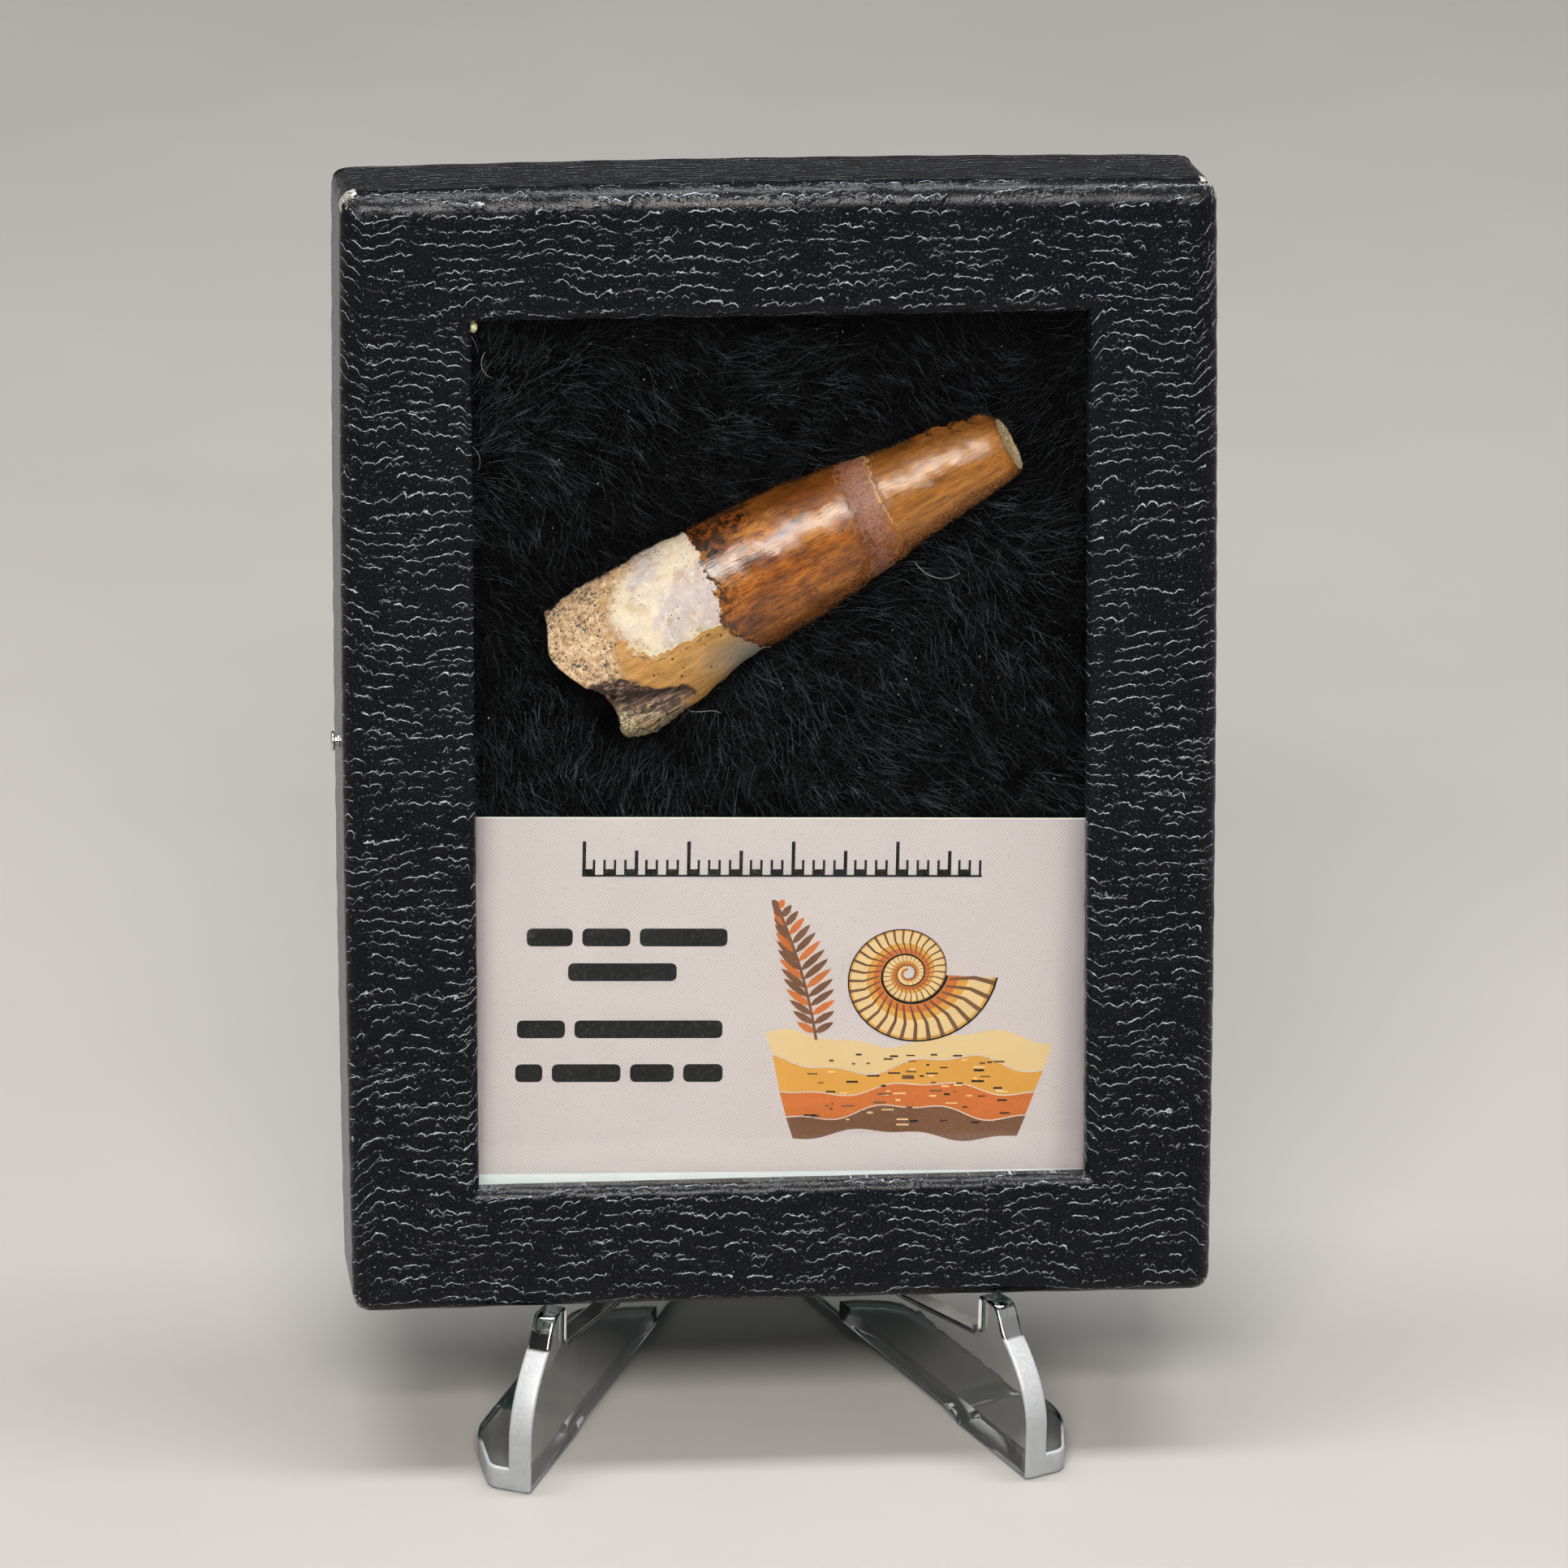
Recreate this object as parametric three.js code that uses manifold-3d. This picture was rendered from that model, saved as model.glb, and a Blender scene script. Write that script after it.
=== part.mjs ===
// A fossil tooth bedded on black batting in a small glass-topped display box, which leans on a
// clear two-piece easel. Millimetres, +Z up, the window faces -Y. The origin is on the ground,
// midway between the sides and midway between the easel's toes and its hinge.
import * as THREE from 'three';
import { mergeVertices } from 'three/addons/utils/BufferGeometryUtils.js';
import Module from 'manifold-3d';

const wasm = await Module();
wasm.setup();

// ---------------------------------------------------------------- driving dimensions, mm
const GAP = 0.3; // what touching pieces keep between them

const BOX = { width: 82.6, height: 108, depth: 19 };
const LEAN = THREE.MathUtils.degToRad(12); // how far the box leans back
const BOX_FRONT_Y = -21.6; // the box's lower front edge
const BOX_FRONT_Z = 16.4;

const LID = { wall: 1.3, panel: 2.4, sideDepth: 18.4, edgeRadius: 2.2, cornerRadius: 1.7, bow: 0.35 };
const WINDOW = { left: -29.1, right: 29.1, bottom: 12.1, top: 95.7, edgeRadius: 1.2, cornerRadius: 0.5 };
const GLASS_THICKNESS = 1.8;
const TRAY = { wall: 1.2, floor: 1.4, clearance: 0.4, cornerRadius: 1.1 };
const CARD = { width: 63, height: 38.2, thickness: 0.35, turn: THREE.MathUtils.degToRad(-1.37) };
const CARD_TOP_LEFT = { x: -31.5, z: 47.65 }; // the card's upper left corner on the box's face
const PIN = { height: 54.2, shankRadius: 0.45, headRadius: 0.95, inner: 34.5, outer: 42.4 };

const TOOTH = { length: 48.2, rootX: -19.8, rootZ: 60.0, rise: THREE.MathUtils.degToRad(28) };
const BATTING = { high: 6.3, low: 10.2, reach: 6.5, rise: 3.5, cell: 3.7 };

const EASEL = { plate: 2.3, toeX: 23.9, toeY: -28, hingeY: 25.4, hingeRadius: 2.6, armTop: 84,
  offset: -0.85 }; // how far the easel stands left of the box's middle
const LIP = { base: 5.5, shoulder: [5.1, 13.3], neck: [6.3, 15.3], back: 10 };
const LEDGE = { front: 11.5, back: 8.7 }; // heights of the ledge under the box
const FOOT = { thick: 2.4, toeWidth: 4.3, width: 8.2, length: 38 };
const ARCH = { from: 13, to: 51, height: 0.9 }; // the hollow under the plate and its foot
const KNUCKLES = { right: [[3, 10], [24, 31]], left: [[GAP + 10, 24 - GAP]] };
const HINGE_PIN = { radius: 1.1, bore: 1.45, mouth: 1.8 };

// depths behind the box's front face
const GLASS_FRONT = LID.panel + 0.2;
const GLASS_BACK = GLASS_FRONT + GLASS_THICKNESS;
const CARD_FRONT = GLASS_BACK + GAP;
const TRAY_RIM = GLASS_BACK + GAP;
const TRAY_FLOOR = BOX.depth - TRAY.floor;

// ---------------------------------------------------------------- mesh helpers

// A closed mesh from rings of the same number of points. The rings either join up in a loop
// or are closed with a flat fan at each end. The winding is turned so that the faces point out.
function loft(rings, inLoop = false) {
  const count = rings[0].length;
  const points = rings.flat();
  const triangles = [];
  const steps = inLoop ? rings.length : rings.length - 1;
  for (let i = 0; i < steps; i++) {
    const here = i * count;
    const next = ((i + 1) % rings.length) * count;
    for (let j = 0; j < count; j++) {
      const k = (j + 1) % count;
      triangles.push(here + j, next + j, next + k, here + j, next + k, here + k);
    }
  }
  if (!inLoop) {
    for (const [ring, turned] of [[0, false], [rings.length - 1, true]]) {
      const middle = points.length;
      const first = ring * count;
      const centre = new THREE.Vector3();
      for (const point of rings[ring]) centre.addScaledVector(point, 1 / count);
      points.push(centre);
      for (let j = 0; j < count; j++) {
        const k = first + ((j + 1) % count);
        triangles.push(...(turned ? [middle, k, first + j] : [middle, first + j, k]));
      }
    }
  }
  return facingOut(points, triangles);
}

function facingOut(points, triangles) {
  let volume = 0;
  for (let i = 0; i < triangles.length; i += 3) {
    const [a, b, c] = [0, 1, 2].map((k) => points[triangles[i + k]]);
    volume += a.dot(b.clone().cross(c));
  }
  if (volume < 0) triangles.reverse();
  const geometry = new THREE.BufferGeometry();
  const positions = points.flatMap((p) => [p.x, p.y, p.z]);
  geometry.setAttribute('position', new THREE.Float32BufferAttribute(positions, 3));
  geometry.setIndex(triangles);
  return geometry;
}

function toSolid(geometry) {
  const bare = geometry.clone();
  bare.deleteAttribute('normal');
  bare.deleteAttribute('uv');
  const merged = mergeVertices(bare, 1e-5);
  return new wasm.Manifold(new wasm.Mesh({
    numProp: 3,
    vertProperties: new Float32Array(merged.attributes.position.array),
    triVerts: new Uint32Array(merged.index.array),
  }));
}

function toGeometry(solid) {
  const { numProp, vertProperties, triVerts } = solid.getMesh();
  const positions = [];
  for (let i = 0; i < vertProperties.length; i += numProp) {
    positions.push(vertProperties[i], vertProperties[i + 1], vertProperties[i + 2]);
  }
  const geometry = new THREE.BufferGeometry();
  geometry.setAttribute('position', new THREE.Float32BufferAttribute(positions, 3));
  geometry.setIndex([...triVerts]);
  return geometry;
}

const mix = THREE.MathUtils.lerp;
const ramp = THREE.MathUtils.smoothstep; // ramp(value, from, to)

// The value of a smooth curve through a table's rows [s, value] at s.
function curveThrough(rows, s) {
  let i = 1;
  while (i < rows.length - 1 && rows[i][0] < s) i++;
  const [a, b] = [rows[i - 1], rows[i]];
  const before = rows[Math.max(i - 2, 0)];
  const after = rows[Math.min(i + 1, rows.length - 1)];
  const span = b[0] - a[0];
  const t = THREE.MathUtils.clamp((s - a[0]) / span, 0, 1);
  const slopeA = ((b[1] - before[1]) / (b[0] - before[0])) * span;
  const slopeB = ((after[1] - a[1]) / (after[0] - a[0])) * span;
  const [t2, t3] = [t * t, t * t * t];
  const level = (2 * t3 - 3 * t2 + 1) * a[1] + (3 * t2 - 2 * t3) * b[1];
  return level + (t3 - 2 * t2 + t) * slopeA + (t3 - t2) * slopeB;
}

// ---------------------------------------------------------------- the tooth

// The tooth's own frame: s runs from the root's broken end to the tip, "angle" goes round it,
// 0 at the glass, 90 degrees at the upper edge, 180 at the batting.
const TOOTH_CENTRE = [[0, -0.6], [5, -0.95], [10, -0.6], [16, -0.05], [36, -0.05], [43, -0.15],
  [48.2, -0.5]];
const TOOTH_HALF_WIDTH = [[0, 7.1], [5, 7.75], [10, 7.6], [16, 6.9], [25, 6.35], [36, 4.85],
  [43, 3.9], [48.2, 2.95]];
const TOOTH_HALF_DEPTH = [[0, 5.2], [5, 5.6], [10, 5.55], [16, 5.3], [25, 5.0], [36, 3.9],
  [43, 3.1], [48.2, 2.2]];
const TOOTH_AXIS_DEPTH = [[0, 10.6], [16, 10.45], [30, 10.0], [48.2, 8.7]];
// where the crown's enamel stops on the root, the old repair, and the root's broken end
const ENAMEL_EDGE = [[-180, 17], [-110, 18.4], [-60, 17.6], [-33, 16.2], [-12, 15.5], [8, 16.5],
  [28, 16.3], [50, 16.7], [90, 16.1], [180, 17]];
const ROOT_END = [[-180, 1.6], [-120, 2.6], [-75, 2.3], [-50, 2.1], [-28, 3.0], [-12, 2.0],
  [5, 0.7], [30, -0.4], [60, 0.7], [100, 1.1], [180, 1.6]];
const REPAIR = { from: 31.3, to: 34.3 };
const NOTCH = { from: 1, to: 10.2, depth: 2.4, startAngle: -24, endAngle: -54,
  startSpread: 13, endSpread: 5 };
const HOLLOW = 3.2; // where the bottom of the hollow in the root's broken end lies
const TIP_CHIP = 0.6; // how much shorter the tip is on the glass side
const TIP_HOLLOW = 0.35; // and at the middle of its broken face
const CRUST = { from: 39, to: 47, angle: 88, spread: 22, height: 0.4 };

// An angle round the tooth as degrees from -180 to 180.
const turnOf = (angle) => THREE.MathUtils.radToDeg(Math.atan2(Math.sin(angle), Math.cos(angle)));

function lumps(s, angle) {
  return 0.5 * Math.sin(0.9 * s + 2 * angle) + 0.3 * Math.sin(2.1 * s - 3 * angle + 1)
    + 0.35 * Math.sin(1.3 * s + 5 * angle + 2.2) + 0.2 * Math.sin(3.3 * s + 7 * angle);
}

// How far the surface stands out from the plain oval section, mm.
function toothRelief(s, angle) {
  const turn = turnOf(angle);
  const enamelEdge = curveThrough(ENAMEL_EDGE, turn);
  const onCrown = ramp(s, enamelEdge - 0.5, enamelEdge + 0.5);
  const pastRepair = ramp(s, REPAIR.to, REPAIR.to + 0.6);
  const inRepair = ramp(s, REPAIR.from - 0.6, REPAIR.from) * (1 - pastRepair);
  let relief = mix(0.16, 0.05, onCrown) * lumps(s, angle);
  relief += 0.22 * onCrown - 0.14 * inRepair - 0.2 * pastRepair;
  relief += 0.12 * inRepair * Math.sin(4.7 * s + 9 * angle);
  const along = THREE.MathUtils.clamp((s - NOTCH.from) / (NOTCH.to - NOTCH.from), 0, 1);
  const middle = mix(NOTCH.startAngle, NOTCH.endAngle, along);
  const away = (turn - middle) / mix(NOTCH.startSpread, NOTCH.endSpread, along);
  relief -= NOTCH.depth * (1 - along) ** 0.7 * Math.exp(-away * away);
  const nearCrust = ramp(s, CRUST.from, CRUST.from + 2) * (1 - ramp(s, CRUST.to - 1, CRUST.to));
  const crust = Math.exp(-(((turn - CRUST.angle) / CRUST.spread) ** 2));
  return relief + CRUST.height * nearCrust * crust * (0.6 + 0.4 * Math.sin(3.1 * s + 6 * angle));
}

// A point of the tooth in the box's frame; "size" shrinks the section to close the ends,
// "grow" widens it, for the bed it lies in.
function toothPoint(s, angle, size = 1, grow = 0) {
  const stand = toothRelief(s, angle) * size + grow;
  const halfWidth = curveThrough(TOOTH_HALF_WIDTH, s) * size + stand;
  const halfDepth = curveThrough(TOOTH_HALF_DEPTH, s) * size + stand;
  const across = curveThrough(TOOTH_CENTRE, s) + halfWidth * Math.sin(angle);
  const depth = curveThrough(TOOTH_AXIS_DEPTH, s) - halfDepth * Math.cos(angle);
  const [c, n] = [Math.cos(TOOTH.rise), Math.sin(TOOTH.rise)];
  return new THREE.Vector3(TOOTH.rootX + s * c - across * n, depth, TOOTH.rootZ + s * n + across * c);
}

function toothRings(along, around, grow = 0) {
  const rings = [];
  const ring = (place, size) => {
    const points = [];
    for (let j = 0; j < around; j++) {
      const angle = (2 * Math.PI * j) / around;
      points.push(toothPoint(place(angle), angle, size, grow));
    }
    rings.push(points);
  };
  const rootEnd = (angle) => curveThrough(ROOT_END, turnOf(angle)) - grow;
  const tipEnd = (angle) => TOOTH.length - TIP_CHIP * (0.5 + 0.5 * Math.cos(angle)) + grow;
  for (const size of [0.35, 0.62, 0.86]) {
    const uneven = (angle) => 0.3 * Math.sin(3 * angle + 6 * size);
    ring((angle) => mix(HOLLOW - 2 * grow, rootEnd(angle), size ** 1.5) + uneven(angle), size);
  }
  for (let i = 0; i <= along; i++) {
    ring((angle) => mix(rootEnd(angle), tipEnd(angle) - 0.5, i / along), 1);
  }
  ring((angle) => tipEnd(angle) - 0.1, 0.9);
  const tipMiddle = TOOTH.length - TIP_HOLLOW + grow;
  ring((angle) => mix(tipMiddle, tipEnd(angle), 0.8), 0.66);
  ring((angle) => mix(tipMiddle, tipEnd(angle), 0.3), 0.3);
  return rings;
}

// ---------------------------------------------------------------- the display box

const SIDE_STEPS = 6; // the points along each side of the box's outlines

// A rectangle with rounded corners on the box's face at one depth. "bow" swells the middle of its
// sides and top, and lifts the middle of its bottom by half as much.
function faceRing(left, right, bottom, top, radius, depth, bow = 0) {
  const points = [];
  const corners = [[right, bottom, -90], [right, top, 0], [left, top, 90], [left, bottom, 180]];
  const [midX, midZ] = [(left + right) / 2, (bottom + top) / 2];
  const [halfX, halfZ] = [(right - left) / 2, (top - bottom) / 2];
  const swell = (x, z) => {
    const u = (x - midX) / halfX;
    const v = (z - midZ) / halfZ;
    const lift = (v > 0 ? bow : bow / 2) * v ** 4 * (1 - u * u);
    return new THREE.Vector3(x + bow * u ** 5 * (1 - v * v), depth, z + lift);
  };
  for (let c = 0; c < 4; c++) {
    const [x, z, start] = corners[c];
    const [nextX, nextZ, nextStart] = corners[(c + 1) % 4];
    const centre = [x - Math.sign(x - midX) * radius, z - Math.sign(z - midZ) * radius];
    const nextCentre = [
      nextX - Math.sign(nextX - midX) * radius,
      nextZ - Math.sign(nextZ - midZ) * radius,
    ];
    const onArc = ([cx, cz], turn) => {
      const angle = THREE.MathUtils.degToRad(turn);
      return [cx + radius * Math.cos(angle), cz + radius * Math.sin(angle)];
    };
    for (let k = 0; k <= 3; k++) points.push(swell(...onArc(centre, start + 30 * k)));
    const [from, to] = [onArc(centre, start + 90), onArc(nextCentre, nextStart)];
    for (let k = 1; k < SIDE_STEPS; k++) {
      const share = k / SIDE_STEPS;
      points.push(swell(mix(from[0], to[0], share), mix(from[1], to[1], share)));
    }
  }
  return points;
}

function boxRing(inset, radius, depth, bow = 0) {
  const half = BOX.width / 2 - inset;
  return faceRing(-half, half, inset, BOX.height - inset, radius, depth, bow);
}

function windowRing(spread, depth) {
  const { left, right, bottom, top, cornerRadius } = WINDOW;
  return faceRing(left - spread, right + spread, bottom - spread, top + spread, cornerRadius + spread, depth);
}

function pinHole() {
  const radius = PIN.shankRadius + GAP;
  const hole = new THREE.CylinderGeometry(radius, radius, BOX.width + 4, 10);
  hole.rotateZ(Math.PI / 2).translate(0, BOX.depth / 2, PIN.height);
  return toSolid(hole);
}

// The lid is a picture frame: one section swept round, from the front face over the rounded
// outer edge, back along the sides, and inside again to the rounded edge of the window.
function lidGeometry() {
  const rings = [];
  for (let k = 0; k <= 4; k++) {
    const a = (Math.PI / 2) * (k / 4);
    const inset = LID.edgeRadius * (1 - Math.sin(a));
    const radius = LID.cornerRadius - 0.5 * inset;
    rings.push(boxRing(inset, radius, LID.edgeRadius * (1 - Math.cos(a)), LID.bow * Math.sin(a)));
  }
  rings.push(boxRing(0, LID.cornerRadius, LID.sideDepth, LID.bow));
  rings.push(boxRing(LID.wall, LID.cornerRadius - 0.6, LID.sideDepth));
  rings.push(boxRing(LID.wall, LID.cornerRadius - 0.6, LID.panel));
  rings.push(windowRing(0, LID.panel));
  for (let k = 3; k >= 0; k--) {
    const a = (Math.PI / 2) * (k / 3);
    rings.push(windowRing(WINDOW.edgeRadius * (1 - Math.sin(a)), WINDOW.edgeRadius * (1 - Math.cos(a))));
  }
  return toGeometry(toSolid(loft(rings, true)).subtract(pinHole()));
}

function trayGeometry() {
  const outer = LID.wall + TRAY.clearance;
  const inner = outer + TRAY.wall;
  return toGeometry(toSolid(loft([
    boxRing(outer + 0.4, TRAY.cornerRadius, BOX.depth),
    boxRing(outer, TRAY.cornerRadius, BOX.depth - 0.4),
    boxRing(outer, TRAY.cornerRadius, TRAY_RIM),
    boxRing(inner, TRAY.cornerRadius - 0.4, TRAY_RIM),
    boxRing(inner, TRAY.cornerRadius - 0.4, TRAY_FLOOR),
  ])).subtract(pinHole()));
}

function glassGeometry() {
  const inset = LID.wall + TRAY.clearance;
  const pane = new THREE.BoxGeometry(BOX.width - 2 * inset, GLASS_THICKNESS, BOX.height - 2 * inset);
  return pane.translate(0, GLASS_FRONT + GLASS_THICKNESS / 2, BOX.height / 2);
}

function cardGeometry() {
  const card = new THREE.BoxGeometry(CARD.width, CARD.thickness, CARD.height);
  card.translate(CARD.width / 2, CARD_FRONT + CARD.thickness / 2, -CARD.height / 2);
  return card.rotateY(-CARD.turn).translate(CARD_TOP_LEFT.x, 0, CARD_TOP_LEFT.z);
}

// How deep the batting's surface lies at a place on the box's face. It swells towards the glass,
// sinks beside the tooth, and is pressed flat under the card.
function battingDepth(x, z) {
  const [c, n] = [Math.cos(TOOTH.rise), Math.sin(TOOTH.rise)];
  const s = (x - TOOTH.rootX) * c + (z - TOOTH.rootZ) * n;
  const across = -(x - TOOTH.rootX) * n + (z - TOOTH.rootZ) * c;
  const inside = THREE.MathUtils.clamp(s, 0, TOOTH.length);
  const fromAxis = Math.abs(across - curveThrough(TOOTH_CENTRE, inside));
  const aside = Math.max(fromAxis - curveThrough(TOOTH_HALF_WIDTH, inside), 0);
  const distance = Math.hypot(aside, s - inside);
  const reach = across > 0 ? BATTING.reach * 1.5 : BATTING.reach;
  const swell = 0.35 * Math.sin(0.21 * x + 0.13 * z) + 0.25 * Math.sin(0.34 * z - 0.17 * x + 1);
  const free = mix(BATTING.low, BATTING.high + swell, ramp(distance, 0, reach));
  const pressed = CARD_FRONT + CARD.thickness + GAP;
  return mix(pressed, free, ramp(z, CARD_TOP_LEFT.z, CARD_TOP_LEFT.z + BATTING.rise));
}

// The batting is a pad whose face is a grid of heights, less the bed of the tooth and the pins.
function battingGeometry() {
  const inset = LID.wall + TRAY.clearance + TRAY.wall + GAP;
  const half = BOX.width / 2 - inset;
  const columns = Math.round((2 * half) / BATTING.cell);
  const rows = Math.round((BOX.height - 2 * inset) / BATTING.cell);
  const place = (i, j) => [mix(-half, half, i / columns), mix(inset, BOX.height - inset, j / rows)];
  const points = [];
  const triangles = [];
  const top = (i, j) => j * (columns + 1) + i;
  for (let j = 0; j <= rows; j++) {
    for (let i = 0; i <= columns; i++) {
      const [x, z] = place(i, j);
      points.push(new THREE.Vector3(x, battingDepth(x, z), z));
    }
  }
  for (let j = 0; j < rows; j++) {
    for (let i = 0; i < columns; i++) {
      triangles.push(top(i, j), top(i + 1, j), top(i + 1, j + 1));
      triangles.push(top(i, j), top(i + 1, j + 1), top(i, j + 1));
    }
  }
  const edge = [];
  for (let i = 0; i < columns; i++) edge.push(top(i, 0));
  for (let j = 0; j < rows; j++) edge.push(top(columns, j));
  for (let i = columns; i > 0; i--) edge.push(top(i, rows));
  for (let j = rows; j > 0; j--) edge.push(top(0, j));
  const back = points.length;
  for (const e of edge) points.push(new THREE.Vector3(points[e].x, TRAY_FLOOR - GAP, points[e].z));
  const centre = points.push(new THREE.Vector3(0, TRAY_FLOOR - GAP, BOX.height / 2)) - 1;
  for (let k = 0; k < edge.length; k++) {
    const next = (k + 1) % edge.length;
    triangles.push(edge[k], back + k, back + next, edge[k], back + next, edge[next]);
    triangles.push(centre, back + next, back + k);
  }
  const bed = toSolid(loft(toothRings(24, 18, GAP + 0.3)));
  return toGeometry(toSolid(facingOut(points, triangles)).subtract(bed).subtract(pinHole()));
}

// A steel pin: a flat head, two barbs on the neck, and a straight shank with a short point.
function pinGeometry(side) {
  const { headRadius, shankRadius, inner, outer } = PIN;
  const profile = [
    [0, inner], [shankRadius, inner + 1.2], [shankRadius, outer - 0.85], [0.7, outer - 0.78],
    [0.7, outer - 0.64], [0.5, outer - 0.56], [0.5, outer - 0.44], [headRadius, outer - 0.36],
    [headRadius, outer - 0.1], [0.75, outer], [0, outer],
  ];
  const pin = new THREE.LatheGeometry(profile.map(([r, x]) => new THREE.Vector2(r, x)), 12);
  return pin.rotateZ((-side * Math.PI) / 2).translate(0, BOX.depth / 2, PIN.height);
}

// ---------------------------------------------------------------- the easel

// each half's angle from straight back
const SPLAY = Math.atan2(EASEL.toeX, EASEL.hingeY - 0.4 - EASEL.toeY);
const SLOPE = Math.tan(LEAN);

// where the box's bottom face and its back lie, by y and by z
const boxUnderside = (y) => BOX_FRONT_Z - (y - BOX_FRONT_Y) * SLOPE;
const boxBack = (z) => {
  const backY = BOX_FRONT_Y + BOX.depth * Math.cos(LEAN);
  const backZ = BOX_FRONT_Z - BOX.depth * Math.sin(LEAN);
  return backY + (z - backZ) * SLOPE;
};
const alongPlate = (y) => (y - EASEL.toeY) / Math.cos(SPLAY);
const yAt = (u) => EASEL.toeY + u * Math.cos(SPLAY);

// The plate's outline: u runs back from the toe along the plate, v is height. It goes up the
// toe to the lip, down into the notch, back along the ledge, up the arm and down to the heel.
function plateShape() {
  const lipTop = (u) => boxUnderside(yAt(u)) - GAP;
  const armAt = (v) => alongPlate(boxBack(v) + GAP / Math.cos(LEAN));
  const heel = alongPlate(EASEL.hingeY) - 0.9;
  const top = EASEL.armTop;
  const shape = new THREE.Shape();
  shape.moveTo(0.5, 0);
  shape.quadraticCurveTo(0, 0, 0, 0.5);
  shape.lineTo(0, LIP.base);
  shape.quadraticCurveTo(0.3, 9.8, ...LIP.shoulder);
  shape.lineTo(...LIP.neck);
  shape.quadraticCurveTo(6.8, 15.9, 7.6, lipTop(8) - 0.05);
  shape.lineTo(LIP.back - 0.5, lipTop(LIP.back - 0.5));
  shape.quadraticCurveTo(LIP.back, lipTop(LIP.back), LIP.back, lipTop(LIP.back) - 0.6);
  shape.lineTo(LIP.back, LEDGE.front + 0.6);
  shape.quadraticCurveTo(LIP.back, LEDGE.front, LIP.back + 0.6, LEDGE.front - 0.1);
  shape.lineTo(armAt(LEDGE.back) - 1.2, LEDGE.back + 0.2);
  shape.quadraticCurveTo(armAt(LEDGE.back), LEDGE.back, armAt(LEDGE.back + 1.2), LEDGE.back + 1.2);
  shape.lineTo(armAt(top - 2), top - 2);
  shape.bezierCurveTo(armAt(top), top + 0.6, 49.5, top + 0.8, 50, top - 2);
  shape.bezierCurveTo(51.2, 66, heel, 56, heel, 36);
  shape.lineTo(heel, 0);
  shape.lineTo(0.5, 0);
  return shape;
}

// The foot's plan: u runs back along the plate, w outwards from its inner face.
function footShape() {
  const shape = new THREE.Shape();
  shape.moveTo(0, 0.4);
  shape.lineTo(0, FOOT.toeWidth - 1);
  shape.quadraticCurveTo(0, FOOT.toeWidth, 0.9, FOOT.toeWidth + 0.5);
  shape.lineTo(5.2, FOOT.width - 0.9);
  shape.quadraticCurveTo(7, FOOT.width, 9, FOOT.width);
  shape.lineTo(FOOT.length - 6, FOOT.width);
  shape.quadraticCurveTo(FOOT.length - 2, FOOT.width, FOOT.length, 0.4);
  shape.lineTo(0, 0.4);
  return shape;
}

// Takes (u, v, w) to its place on one half: side is 1 on the right, -1 on the left.
function onEaselSide(geometry, side) {
  const back = new THREE.Vector3(-Math.sin(SPLAY), Math.cos(SPLAY), 0);
  const out = new THREE.Vector3(Math.cos(SPLAY), Math.sin(SPLAY), 0);
  const placed = geometry.index ? geometry.toNonIndexed() : geometry;
  placed.applyMatrix4(new THREE.Matrix4().makeBasis(back, new THREE.Vector3(0, 0, 1), out));
  placed.translate(EASEL.toeX, EASEL.toeY, 0);
  if (side > 0) return placed;
  const position = placed.attributes.position;
  for (let i = 0; i < position.count; i += 3) {
    const [a, b, c] = [0, 1, 2].map((k) => new THREE.Vector3().fromBufferAttribute(position, i + k));
    [a, c, b].forEach((p, k) => position.setXYZ(i + k, -p.x, p.y, p.z));
  }
  return placed;
}

function hingeRod(radius, [bottom, top], segments = 20) {
  const rod = new THREE.CylinderGeometry(radius, radius, top - bottom, segments);
  return toSolid(rod.rotateX(Math.PI / 2).translate(0, EASEL.hingeY, (bottom + top) / 2));
}

// The hollow between the toe and the heel, so that the half stands on its two ends.
function archShape() {
  const { from, to, height } = ARCH;
  const shape = new THREE.Shape();
  shape.moveTo(from, -1);
  shape.quadraticCurveTo(from + 2, height, from + 6, height);
  shape.lineTo(to - 6, height);
  shape.quadraticCurveTo(to - 2, height, to, -1);
  shape.lineTo(from, -1);
  return shape;
}

function extrude(shape, depth) {
  return new THREE.ExtrudeGeometry(shape, { depth, bevelEnabled: false, curveSegments: 8 });
}

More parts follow.
